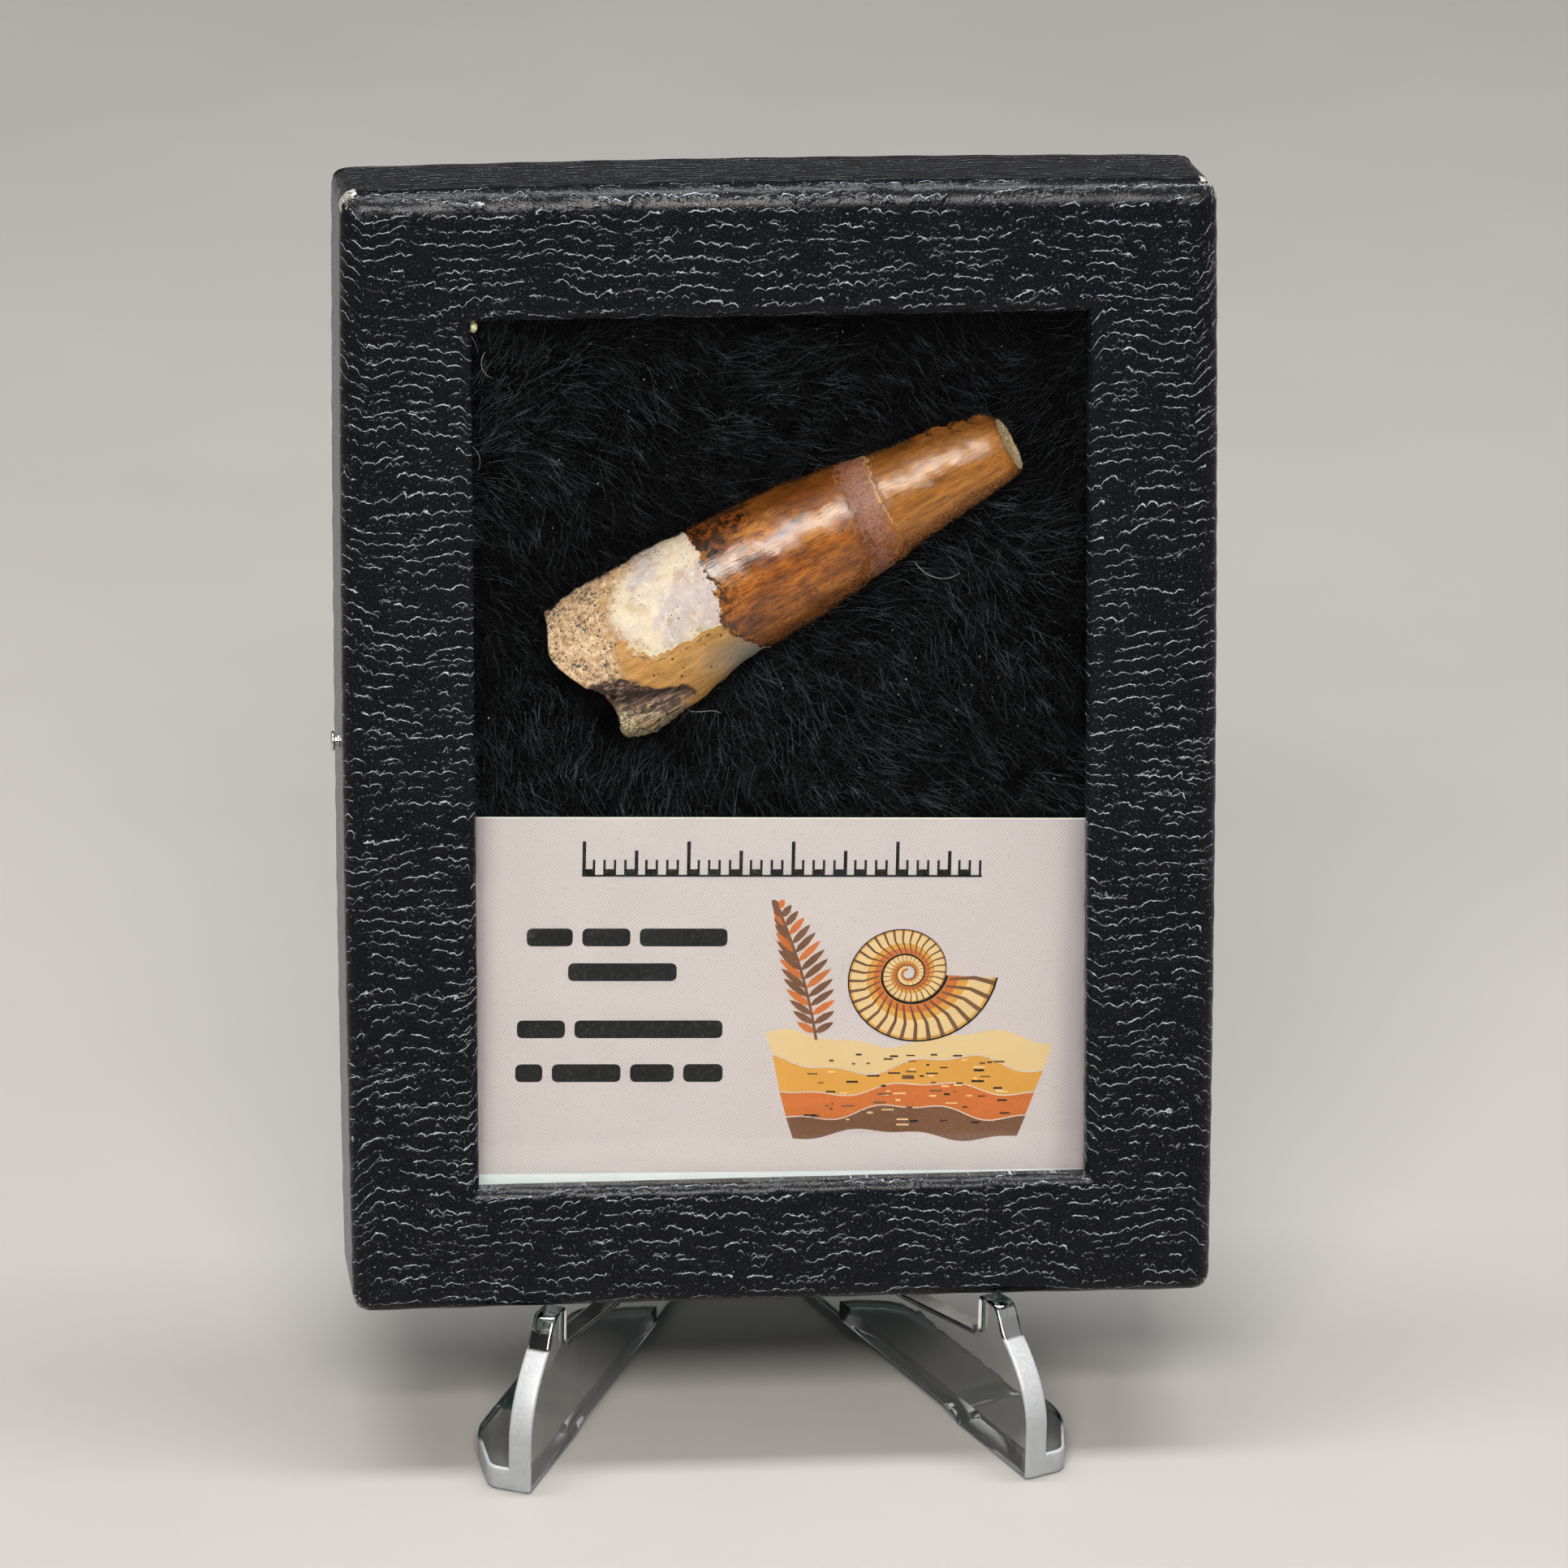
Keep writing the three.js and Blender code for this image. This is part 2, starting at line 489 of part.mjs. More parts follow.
// One half: a plate on its foot, less the hollow below. The right half carries the hinge's rod
// between its two knuckles, and the left half's knuckle snaps onto the rod through its mouth.
function easelGeometry(side) {
  const plate = extrude(plateShape(), EASEL.plate);
  const foot = extrude(footShape(), FOOT.thick);
  foot.rotateX(Math.PI / 2).translate(0, FOOT.thick, 0); // (u, w, height) becomes (u, v, w)
  const hollow = extrude(archShape(), 14).translate(0, 0, -3);
  let half = toSolid(onEaselSide(plate, side)).add(toSolid(onEaselSide(foot, side)));
  half = half.subtract(toSolid(onEaselSide(hollow, side)));
  const [own, other] = side > 0 ? [KNUCKLES.right, KNUCKLES.left] : [KNUCKLES.left, KNUCKLES.right];
  for (const [bottom, top] of other) {
    half = half.subtract(hingeRod(EASEL.hingeRadius + GAP, [bottom - GAP, top + GAP]));
  }
  for (const span of own) half = half.add(hingeRod(EASEL.hingeRadius, span));
  const rodSpan = [KNUCKLES.right[0][0] + 1, KNUCKLES.right[1][1] - 1];
  if (side > 0) return toGeometry(half.add(hingeRod(HINGE_PIN.radius, rodSpan, 14)));
  const mouth = new THREE.BoxGeometry(HINGE_PIN.mouth, 4, 30);
  mouth.translate(-0.2, EASEL.hingeY + 2.2, (rodSpan[0] + rodSpan[1]) / 2);
  return toGeometry(half.subtract(hingeRod(HINGE_PIN.bore, rodSpan, 14)).subtract(toSolid(mouth)));
}

// ---------------------------------------------------------------- assembly

function material(color, roughness, metalness = 0, opacity = 1) {
  return new THREE.MeshStandardMaterial({ color, roughness, metalness, opacity, transparent: opacity < 1 });
}

function piece(name, geometry, finish) {
  const mesh = new THREE.Mesh(geometry, finish);
  mesh.name = name;
  return mesh;
}

const paper = material('#15161a', 0.5);
const steel = material('#b9bcc0', 0.3, 1);
const acrylic = material('#dfe6ea', 0.12, 0, 0.35);

const box = new THREE.Group();
box.rotation.x = -LEAN;
box.position.set(0, BOX_FRONT_Y, BOX_FRONT_Z);
box.add(
  piece('tooth', loft(toothRings(44, 32)), material('#a8642a', 0.4)),
  piece('batting', battingGeometry(), material('#0d0d0f', 0.95)),
  piece('label_card', cardGeometry(), material('#cdbfb4', 0.7)),
  piece('glass_pane', glassGeometry(), material('#eef4f2', 0.05, 0, 0.25)),
  piece('lid', lidGeometry(), paper),
  piece('tray', trayGeometry(), material('#1b1b1d', 0.8)),
  piece('pin_left', pinGeometry(-1), steel),
  piece('pin_right', pinGeometry(1), steel),
);

const easel = new THREE.Group(); // the box stands a little to the right on it
easel.position.x = EASEL.offset;
easel.add(
  piece('easel_left', easelGeometry(-1), acrylic),
  piece('easel_right', easelGeometry(1), acrylic),
);

const model = new THREE.Group();
model.add(box, easel);

export default model;
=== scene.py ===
# %% [markdown]
# # A fossil tooth in its display box
# The real object is a fossil tooth bedded on black wadding in a small glass-topped box, which
# leans on a clear two-piece easel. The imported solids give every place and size. This lesson
# dresses them piece by piece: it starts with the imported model, which never moves.

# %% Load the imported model
import contextlib
import math
import random

import bmesh
import bpy
import numpy as np
from mathutils import Matrix, Vector, noise


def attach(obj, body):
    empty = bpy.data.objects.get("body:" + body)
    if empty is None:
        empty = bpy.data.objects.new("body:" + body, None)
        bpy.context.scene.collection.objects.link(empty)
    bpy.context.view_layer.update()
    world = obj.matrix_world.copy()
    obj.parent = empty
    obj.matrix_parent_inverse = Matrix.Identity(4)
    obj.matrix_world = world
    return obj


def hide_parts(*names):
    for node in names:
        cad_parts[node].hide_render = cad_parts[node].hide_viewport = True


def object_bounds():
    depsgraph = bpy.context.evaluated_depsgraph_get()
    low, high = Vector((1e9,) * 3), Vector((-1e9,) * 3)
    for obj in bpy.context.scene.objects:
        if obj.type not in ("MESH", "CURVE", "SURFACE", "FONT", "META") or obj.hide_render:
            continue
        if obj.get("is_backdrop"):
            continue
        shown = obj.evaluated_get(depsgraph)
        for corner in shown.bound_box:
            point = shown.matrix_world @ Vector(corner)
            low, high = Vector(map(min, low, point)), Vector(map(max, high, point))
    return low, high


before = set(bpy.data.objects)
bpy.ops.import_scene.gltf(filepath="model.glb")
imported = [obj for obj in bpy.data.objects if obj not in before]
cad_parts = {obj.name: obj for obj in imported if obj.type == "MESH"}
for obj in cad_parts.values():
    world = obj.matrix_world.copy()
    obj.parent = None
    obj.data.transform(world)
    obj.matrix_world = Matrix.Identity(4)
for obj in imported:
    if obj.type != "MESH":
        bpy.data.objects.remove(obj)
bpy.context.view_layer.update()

MM = 0.001  # the scene is in metres, and the sizes below are in millimetres


def placed(name, data):
    """A new object in the scene."""
    made = bpy.data.objects.new(name, data)
    bpy.context.scene.collection.objects.link(made)
    return made


# %% [markdown]
# ## The camera
# The camera comes early, because every later choice is judged through it. It stands nearly a
# metre away with a long lens, so the box's upright edges stay nearly parallel. A target, two
# angles, a small roll and a distance place it, and its axes are written straight into its matrix.

# %% Camera
AZIMUTH, ELEVATION, ROLL = (math.radians(a) for a in (-5.78, 23.82, 1.10))
TARGET = Vector((1.36, 1.68, 60.71)) * MM
DISTANCE = 883.14 * MM

back = Vector((
    math.sin(AZIMUTH) * math.cos(ELEVATION),
    -math.cos(AZIMUTH) * math.cos(ELEVATION),
    math.sin(ELEVATION),
))
level = Vector((math.cos(AZIMUTH), math.sin(AZIMUTH), 0))
upward = back.cross(level)
image_x = math.cos(ROLL) * level + math.sin(ROLL) * upward
image_y = -math.sin(ROLL) * level + math.cos(ROLL) * upward

camera = placed("camera", bpy.data.cameras.new("camera"))
camera.data.sensor_width = 36
camera.data.lens = 210.68
camera.data.clip_start, camera.data.clip_end = 0.02, 20
axes = Matrix((image_x, image_y, back)).transposed().to_4x4()
camera.matrix_world = Matrix.Translation(TARGET + back * DISTANCE) @ axes
bpy.context.scene.camera = camera
print("camera at, mm:", [round(v / MM) for v in camera.location])


# %% [markdown]
# ## Helpers for places and meshes
# The box leans back on its easel, so its pieces are drawn upright first: x across the face,
# depth behind it, z up it. One function then leans them into the room. The meshes are mostly
# grids of points, and a second helper joins neighbours in such a grid into four-sided faces.

# %% Place, grid and mesh helpers
LEAN = math.radians(12)
FRONT_Y, FRONT_Z = -21.6, 16.4  # the box's lower front edge


def in_box(x, depth, z):
    """Millimetres on the leaning box to metres in the room."""
    x, depth, z = np.broadcast_arrays(np.asarray(x, float), depth, z)
    y_out = FRONT_Y + z * math.sin(LEAN) + depth * math.cos(LEAN)
    z_out = FRONT_Z + z * math.cos(LEAN) - depth * math.sin(LEAN)
    return np.stack([x, y_out, z_out], -1) * MM


def grid_faces(rows, columns, around=False, capped=False):
    """Faces of a grid of points. around joins each row's ends; capped closes the first and last row."""
    start = np.arange(rows - 1)[:, None] * columns
    here = np.arange(columns if around else columns - 1)[None, :]
    beside = (here + 1) % columns
    quads = np.stack([start + here, start + beside, start + columns + beside, start + columns + here], -1)
    ends = (0, (rows - 1) * columns) if capped else ()
    return quads.reshape(-1, 4).tolist() + [tuple(range(end, end + columns)) for end in ends]


@contextlib.contextmanager
def edited(mesh):
    """A mesh opened for editing, and written back at the end."""
    shape = bmesh.new()
    shape.from_mesh(mesh)
    yield shape
    shape.to_mesh(mesh)
    shape.free()


def make_object(name, points, faces, materials, slots=None):
    """A smooth mesh object with its faces turned outwards."""
    mesh = bpy.data.meshes.new(name)
    mesh.from_pydata(np.asarray(points, float).reshape(-1, 3).tolist(), [], faces)
    for material in materials:
        mesh.materials.append(material)
    if slots is not None:
        mesh.polygons.foreach_set("material_index", slots)
    with edited(mesh) as shape:
        bmesh.ops.recalc_face_normals(shape, faces=shape.faces)
    mesh.shade_smooth()
    print(name, len(mesh.vertices), "points,", len(mesh.polygons), "faces")
    return placed(name, mesh)


def store(made, **values):
    """Stores a number or a vector per point under each name, for the material to read."""
    for name, numbers in values.items():
        numbers = np.asarray(numbers, np.float32).ravel()
        vectors = numbers.size > len(made.data.vertices)
        layer = made.data.attributes.new(name, "FLOAT_VECTOR" if vectors else "FLOAT", "POINT")
        layer.data.foreach_set("vector" if vectors else "value", numbers)


def sharpen(made, degrees):
    """Edges turned by more than this stay crisp, the rest shade smoothly."""
    made.data.set_sharp_from_angle(angle=math.radians(degrees))


def belongs(made, slot, *nodes):
    """The piece moves with the part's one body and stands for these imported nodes."""
    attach(made, "root")
    if nodes:
        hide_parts(*nodes)


def curve_through(rows, s):
    """The value at s of a smooth curve through rows of [s, value]."""
    places, values = np.array(rows, float).T
    s = np.clip(s, places[0], places[-1])
    i = np.clip(np.searchsorted(places, s), 1, len(places) - 1)
    before, after = np.maximum(i - 2, 0), np.minimum(i + 1, len(places) - 1)
    span = places[i] - places[i - 1]
    t = (s - places[i - 1]) / span
    slope_a = (values[i] - values[before]) / (places[i] - places[before]) * span
    slope_b = (values[after] - values[i - 1]) / (places[after] - places[i - 1]) * span
    flat = (2 * t**3 - 3 * t**2 + 1) * values[i - 1] + (3 * t**2 - 2 * t**3) * values[i]
    return flat + (t**3 - 2 * t**2 + t) * slope_a + (t**3 - t**2) * slope_b


def ramp(value, start, end):
    """0 before start, 1 after end, and smooth between them."""
    t = np.clip((value - start) / (end - start), 0, 1)
    return t * t * (3 - 2 * t)


def rough(points, scale, octaves=3, seed=0.0):
    """Fractal noise, about -1 to 1, at points in mm; scale is lumps per mm."""
    shift = Vector((seed * 17.3, seed * 7.1, seed * 3.7))
    flat = np.asarray(points, float).reshape(-1, 3) * scale
    values = [noise.fractal(Vector(p) + shift, 1.0, 2.0, octaves) for p in flat.tolist()]
    return np.array(values).reshape(np.shape(points)[:-1])


# %% [markdown]
# ## Helpers for materials
# Each material is a small node tree. Colours are written as sRGB hex and turned to linear light
# by one function, and one function adds any node with its settings and links. An input may hold
# a further node, written in its place as (kind, inputs...). Tints are mostly coats: a ground
# colour, and over it other colours, each with its share of the surface. Patterns are scaled in
# real millimetres: Object coordinates are in metres, so they are multiplied up first.

# %% Colour and node helpers
def linear(code):
    """#rrggbb as linear RGBA."""
    parts = [int(code[i:i + 2], 16) / 255 for i in (1, 3, 5)]
    light = [p / 12.92 if p <= 0.04045 else ((p + 0.055) / 1.055) ** 2.4 for p in parts]
    return (*light, 1.0)


def feed(tree, made, inputs):
    """Fills a node's sockets: a list in order, a dict by name. A value may be a number, an sRGB hex
    colour, another node's output, or (kind, inputs...), which adds a node of its own on the way."""
    usable = [s for s in made.inputs if s.enabled]
    named = isinstance(inputs, dict)
    sockets = [next(s for s in usable if s.name == name) for name in inputs] if named else usable
    for socket, value in zip(sockets, inputs.values() if named else inputs):
        if isinstance(value, tuple) and isinstance(value[0], (str, tuple)):
            kind, *given = value
            value = add(tree, kind, given[0] if isinstance(given[0], dict) else given)
        if isinstance(value, bpy.types.NodeSocket):
            tree.links.new(value, socket)
        else:
            socket.default_value = linear(value) if isinstance(value, str) else value


def add(tree, kind, inputs=(), out=None, stops=(), **settings):
    """Adds a node and returns its output: the one named, or the first in use.
    A kind is a node's type, or a pair of its type and the settings that go with it."""
    node_type, always = kind if isinstance(kind, tuple) else (kind, {})
    made = tree.nodes.new(node_type)
    for name, value in {**always, **settings}.items():
        setattr(made, name, value)
    feed(tree, made, inputs)
    if stops:
        elements = made.color_ramp.elements
        elements.remove(elements[1])
        elements[0].position, elements[0].color = stops[0][0], linear(stops[0][1])
        for place, code in stops[1:]:
            elements.new(place).color = linear(code)
    usable = [s for s in made.outputs if s.enabled]
    return made.outputs[out] if out else (usable[0] if usable else made)


NOISE, CELLS, BUMP = "ShaderNodeTexNoise", "ShaderNodeTexVoronoi", "ShaderNodeBump"
VALUE_OF, MIX, SPREAD = "ShaderNodeAttribute", "ShaderNodeMix", "ShaderNodeMapRange"
SPLIT, JOIN = "ShaderNodeSeparateXYZ", "ShaderNodeCombineXYZ"
TINT = (MIX, {"data_type": "RGBA"})  # mixes two colours
EASED = (SPREAD, {"interpolation_type": "SMOOTHSTEP"})  # spreads a range with soft ends
PLUS, MINUS, TIMES, TIMES_PLUS, SIZE_OF = [("ShaderNodeMath", {"operation": name}) for name in (
    "ADD", "SUBTRACT", "MULTIPLY", "MULTIPLY_ADD", "ABSOLUTE")]
LEAST, MOST, SINE, FLOOR, FRACTION = [("ShaderNodeMath", {"operation": name}) for name in (
    "MINIMUM", "MAXIMUM", "SINE", "FLOOR", "FRACT")]
SHIFT, UNSHIFT, STRETCH, ENLARGE = [("ShaderNodeVectorMath", {"operation": name}) for name in (
    "ADD", "SUBTRACT", "MULTIPLY", "SCALE")]  # of whole vectors


def new_material(name):
    """A material, its node tree and its Principled shader."""
    material = bpy.data.materials.new(name)
    material.use_nodes = True
    return material, material.node_tree, material.node_tree.nodes["Principled BSDF"]


def in_mm(tree):
    """Object coordinates in millimetres."""
    place = add(tree, "ShaderNodeTexCoord", out="Object")
    return add(tree, ENLARGE, [place, 1 / MM])


def coated(tree, tint, *coats):
    """Colours laid one over another. A coat is its share of the surface and its colour."""
    for share, colour in coats:
        tint = add(tree, TINT, [share, tint, colour])
    return tint


def mottled(name, dark, light, scale, detail, shown=(), **finish):
    """A material with a cloudy tint between two colours. shown spreads the cloud; finish names
    other inputs of the shader, with _ for a space."""
    made, tree, surface = new_material(name)
    cloud = add(tree, NOISE, {"Vector": in_mm(tree), "Scale": scale, "Detail": detail})
    if shown:
        cloud = add(tree, SPREAD, [cloud, *shown])
    feed(tree, surface, {"Base Color": (TINT, cloud, dark, light),
                         **{key.replace("_", " "): value for key, value in finish.items()}})
    return made


# %% [markdown]
# ## The lid
# The lid is a shallow cardboard tray with a window, wrapped in leatherette: paper with a black
# coating, embossed with a leather grain. Its face is a grid with the window left out. The
# rounded edge, the sides and the window's edge are rings swept on from the grid's own border
# points, so that everything joins. Each point also keeps its place on the flat sheet of paper,
# unfolded from around the box, and the material draws the grain there.

# %% Sizes of the box
BOX_WIDTH, BOX_HEIGHT, BOX_DEPTH = 82.6, 108.0, 19.0
MID_Z = BOX_HEIGHT / 2
LID_WALL, LID_PANEL, LID_DEPTH = 1.3, 2.4, 18.4
EDGE, CORNER, BOW = 2.2, 1.7, 0.35  # the rounded front edge, the corners, how far the sides swell
WINDOW_SIDE, WINDOW_BOTTOM, WINDOW_TOP = 29.1, 12.1, 95.7  # its sides lie this far from the middle
WINDOW_EDGE = 1.2
RUBBED_X, RUBBED_Z = 39.6, 52.4  # past these, from the middle, the corners are rubbed bare
GLASS_FRONT, GLASS_BACK = 2.6, 4.4
CARD_FRONT = TRAY_RIM = 4.7
CARD_THICK, CARD_TOP = 0.35, 47.65


def box_outline(x, z, inset, corner, bow=0.0):
    """Moves points of a centred rectangle of half size 1 onto the box's outline, rounded and bowed."""
    wide, tall = BOX_WIDTH / 2 - inset, MID_Z - inset
    px, pz = x * wide, z * tall
    over_x, over_z = np.abs(px) - (wide - corner), np.abs(pz) - (tall - corner)
    length = np.hypot(over_x, over_z)
    inside = (over_x > 0) & (over_z > 0) & (length > 1e-6)
    pull = np.where(inside, corner / np.maximum(length, 1e-6), 1)
    px = np.where(inside, np.sign(px) * (wide - corner + over_x * pull), px)
    pz = np.where(inside, np.sign(pz) * (tall - corner + over_z * pull), pz)
    u, v = px / wide, pz / tall
    lift = np.where(v > 0, bow, bow / 2) * v**4 * (1 - u * u)
    return px + bow * u**5 * (1 - v * v), MID_Z + pz + lift


# %% The lid's mesh
def face_lines(start, end, gap):
    return np.linspace(start, end, max(2, round((end - start) / gap) + 1))


COLUMN, ROW = 0.7, 0.5  # the grid's spacing across and up the face
border_x, border_z = BOX_WIDTH / 2 - EDGE, MID_Z - EDGE
inner_x = WINDOW_SIDE + WINDOW_EDGE
inner_low, inner_high = WINDOW_BOTTOM - WINDOW_EDGE, WINDOW_TOP + WINDOW_EDGE
lines_x = np.concatenate([
    face_lines(-border_x, -inner_x, COLUMN)[:-1],
    face_lines(-inner_x, inner_x, COLUMN)[:-1],
    face_lines(inner_x, border_x, COLUMN),
])
lines_z = np.concatenate([
    face_lines(EDGE, inner_low, ROW)[:-1],
    face_lines(inner_low, inner_high, ROW)[:-1],
    face_lines(inner_high, BOX_HEIGHT - EDGE, ROW),
])
inner = np.abs(lines_x) <= inner_x + 1e-6
upright = (lines_z >= inner_low - 1e-6) & (lines_z <= inner_high + 1e-6)


def border_walk(xs, zs):
    """The points of a rectangle's border, once round."""
    low, high = np.full_like(xs, zs[0]), np.full_like(xs, zs[-1])
    left, right = np.full_like(zs, xs[0]), np.full_like(zs, xs[-1])
    walk_x = np.concatenate([xs[:-1], right[:-1], xs[:0:-1], left[:0:-1]])
    walk_z = np.concatenate([low[:-1], zs[:-1], high[:0:-1], zs[:0:-1]])
    return walk_x, walk_z


def outer_side(unit):
    """-1 or 1 on a border's far sides, 0 between them."""
    return np.where(np.abs(unit) > 0.9999, np.sign(unit), 0.0)


def edge_ring(x, depth, z, walk, side, turn, arc):
    """One ring round a rounded edge: its places, their places on the flat sheet, and the way out."""
    out = math.sin(turn)
    return (x, np.full_like(x, depth), z, walk[0] + side[0] * arc, walk[1] + side[1] * arc,
            side[0] * out, np.full_like(x, -math.cos(turn)), side[1] * out)


def ring_grid(rings, kind):
    """Rings put together as one grid."""
    columns = [np.array(column) for column in zip(*rings)]
    return *columns, grid_faces(*columns[0].shape, around=True), kind


def lid_parts():
    """Grids of (x, depth, z, sheet x, sheet z, towards-x, towards-depth, towards-z) and their faces."""
    x, z = np.meshgrid(lines_x, lines_z)
    flat = np.zeros_like(x)
    grids = [(x, flat, z, x, z, flat, flat - 1, flat, grid_faces(*x.shape), "face")]

    # the outside: round the front edge, back along the sides, and in again behind the panel
    walk = border_walk(lines_x, lines_z)
    unit_x, unit_z = walk[0] / border_x, (walk[1] - MID_Z) / border_z
    side = outer_side(unit_x), outer_side(unit_z)
    rings = [(EDGE * (1 - math.sin(turn)), EDGE * (1 - math.cos(turn)), turn, EDGE * turn)
             for turn in np.linspace(0, math.pi / 2, 15)]
    rings += [(0, depth, math.pi / 2, EDGE * math.pi / 2 + depth - EDGE)
              for depth in (3.5, 5, 7, 9, 11, 13, 15, 17, 18.15)]
    parts = []
    for inset, depth, turn, arc in rings:
        x, z = box_outline(unit_x, unit_z, inset, CORNER * math.sin(turn) ** 0.7, BOW * math.sin(turn))
        parts.append(edge_ring(x, depth, z, walk, side, turn, arc))
    for inset, depth in ((0.12, 18.34), (0.3, LID_DEPTH), (LID_WALL, LID_DEPTH), (LID_WALL, LID_PANEL)):
        x, z = box_outline(unit_x, unit_z, inset, CORNER - 0.6)
        flat = np.zeros_like(x)
        parts.append((x, flat + depth, z, x, z + 40, flat, flat, flat))
    grids.append(ring_grid(parts, "outside"))

    # the window: round its edge and back to the panel's inner face
    walk = border_walk(lines_x[inner], lines_z[upright])
    tall = (WINDOW_TOP - WINDOW_BOTTOM) / 2 + WINDOW_EDGE
    middle = (WINDOW_TOP + WINDOW_BOTTOM) / 2
    unit_x, unit_z = walk[0] / inner_x, (walk[1] - middle) / tall
    side = -outer_side(unit_x), -outer_side(unit_z)
    parts = []
    for turn in np.linspace(0, math.pi / 2, 8):
        spread, depth = (WINDOW_EDGE * (1 - way) for way in (math.sin(turn), math.cos(turn)))
        x, z = unit_x * (WINDOW_SIDE + spread), middle + unit_z * (tall - WINDOW_EDGE + spread)
        parts.append(edge_ring(x, depth, z, walk, side, turn, WINDOW_EDGE * turn))
    last = parts[-1]
    parts.append((last[0], last[1] * 0 + LID_PANEL, *last[2:]))
    grids.append(ring_grid(parts, "window"))
    return grids


points, faces, sheet, bare, last_rows = [], [], [], [], {}
for x, depth, z, sheet_x, sheet_z, out_x, out_depth, out_z, quads, kind in lid_parts():
    if kind == "face":
        middle_x = x.ravel()[np.array(quads)].mean(1)
        middle_z = z.ravel()[np.array(quads)].mean(1)
        hole = np.abs(middle_x) < inner_x
        hole &= (middle_z > inner_low) & (middle_z < inner_high)
        quads = np.array(quads)[~hole].tolist()
    sink = 0.035 - 0.035 * np.sin(0.9 * sheet_x + 1.3 * np.sin(0.7 * sheet_z)) * np.sin(1.7 * sheet_z)
    first = sum(len(p) for p in points)
    points.append(in_box(x - out_x * sink, depth - out_depth * sink, z - out_z * sink).reshape(-1, 3))
    faces += (np.array(quads) + first).tolist()
    last_rows[kind] = np.arange(x.shape[1]) + first + (x.shape[0] - 1) * x.shape[1]
    sheet.append(np.stack([sheet_x, sheet_z, 0 * x], -1).reshape(-1, 3))
    past_x, past_z = np.abs(x) - RUBBED_X, np.abs(z - MID_Z) - RUBBED_Z
    tip = np.hypot(np.maximum(past_x, 0), np.maximum(past_z, 0))
    both = (past_x > -0.2) & (past_z > -0.2) & (depth < 5)
    bare.append(np.where(both, tip, 0).ravel())


def zipped(first, second):
    """Triangles between two rows of points that start and end side by side."""
    made, i, j = [], 0, 0
    while i < len(first) - 1 or j < len(second) - 1:
        if (i + 1) / (len(first) - 1) <= (j + 1) / (len(second) - 1):
            made.append((first[i], first[i + 1], second[j]))
            i += 1
        else:
            made.append((first[i], second[j + 1], second[j]))
            j += 1
    return made


# the panel's back joins the last outside ring to the last window ring, one side after another
wall_steps = [len(lines_x) - 1, len(lines_z) - 1] * 2
frame_steps = [int(inner.sum()) - 1, int(upright.sum()) - 1] * 2
wall = np.append(last_rows["outside"], last_rows["outside"][0])
frame_ring = np.append(last_rows["window"], last_rows["window"][0])
for k in range(4):
    a, b = sum(wall_steps[:k]), sum(frame_steps[:k])
    faces += zipped(wall[a:a + wall_steps[k] + 1], frame_ring[b:b + frame_steps[k] + 1])


# %% [markdown]
# ### Leatherette
# Leatherette is paper under a thin vinyl coat: black with a cold tint, IOR about 1.5, satin.
# Its embossing runs in wavy rows little more than a millimetre apart. Each row is a chain of
# small cushions, so its upper edge is a scalloped line that catches the light, above it lies a
# narrow groove, and here and there the line fades out. A row number that grows by one with each
# row up the sheet, and a beat that grows by one with each cushion along it, make this simple:
# their fractions are the place within a cushion, and their whole parts draw that cushion's own
# chance. Finer pebbles and crumbs lie between. At the box's corners the coat has rubbed off, and
# the pale paper shows.

# %% Leatherette material
leatherette, tree, surface = new_material("embossed leatherette paper")
sheet_place = add(tree, VALUE_OF, out="Vector", attribute_name="sheet")
split = add(tree, SPLIT, [sheet_place], out="X").node
across, upward_mm = split.outputs["X"], split.outputs["Y"]


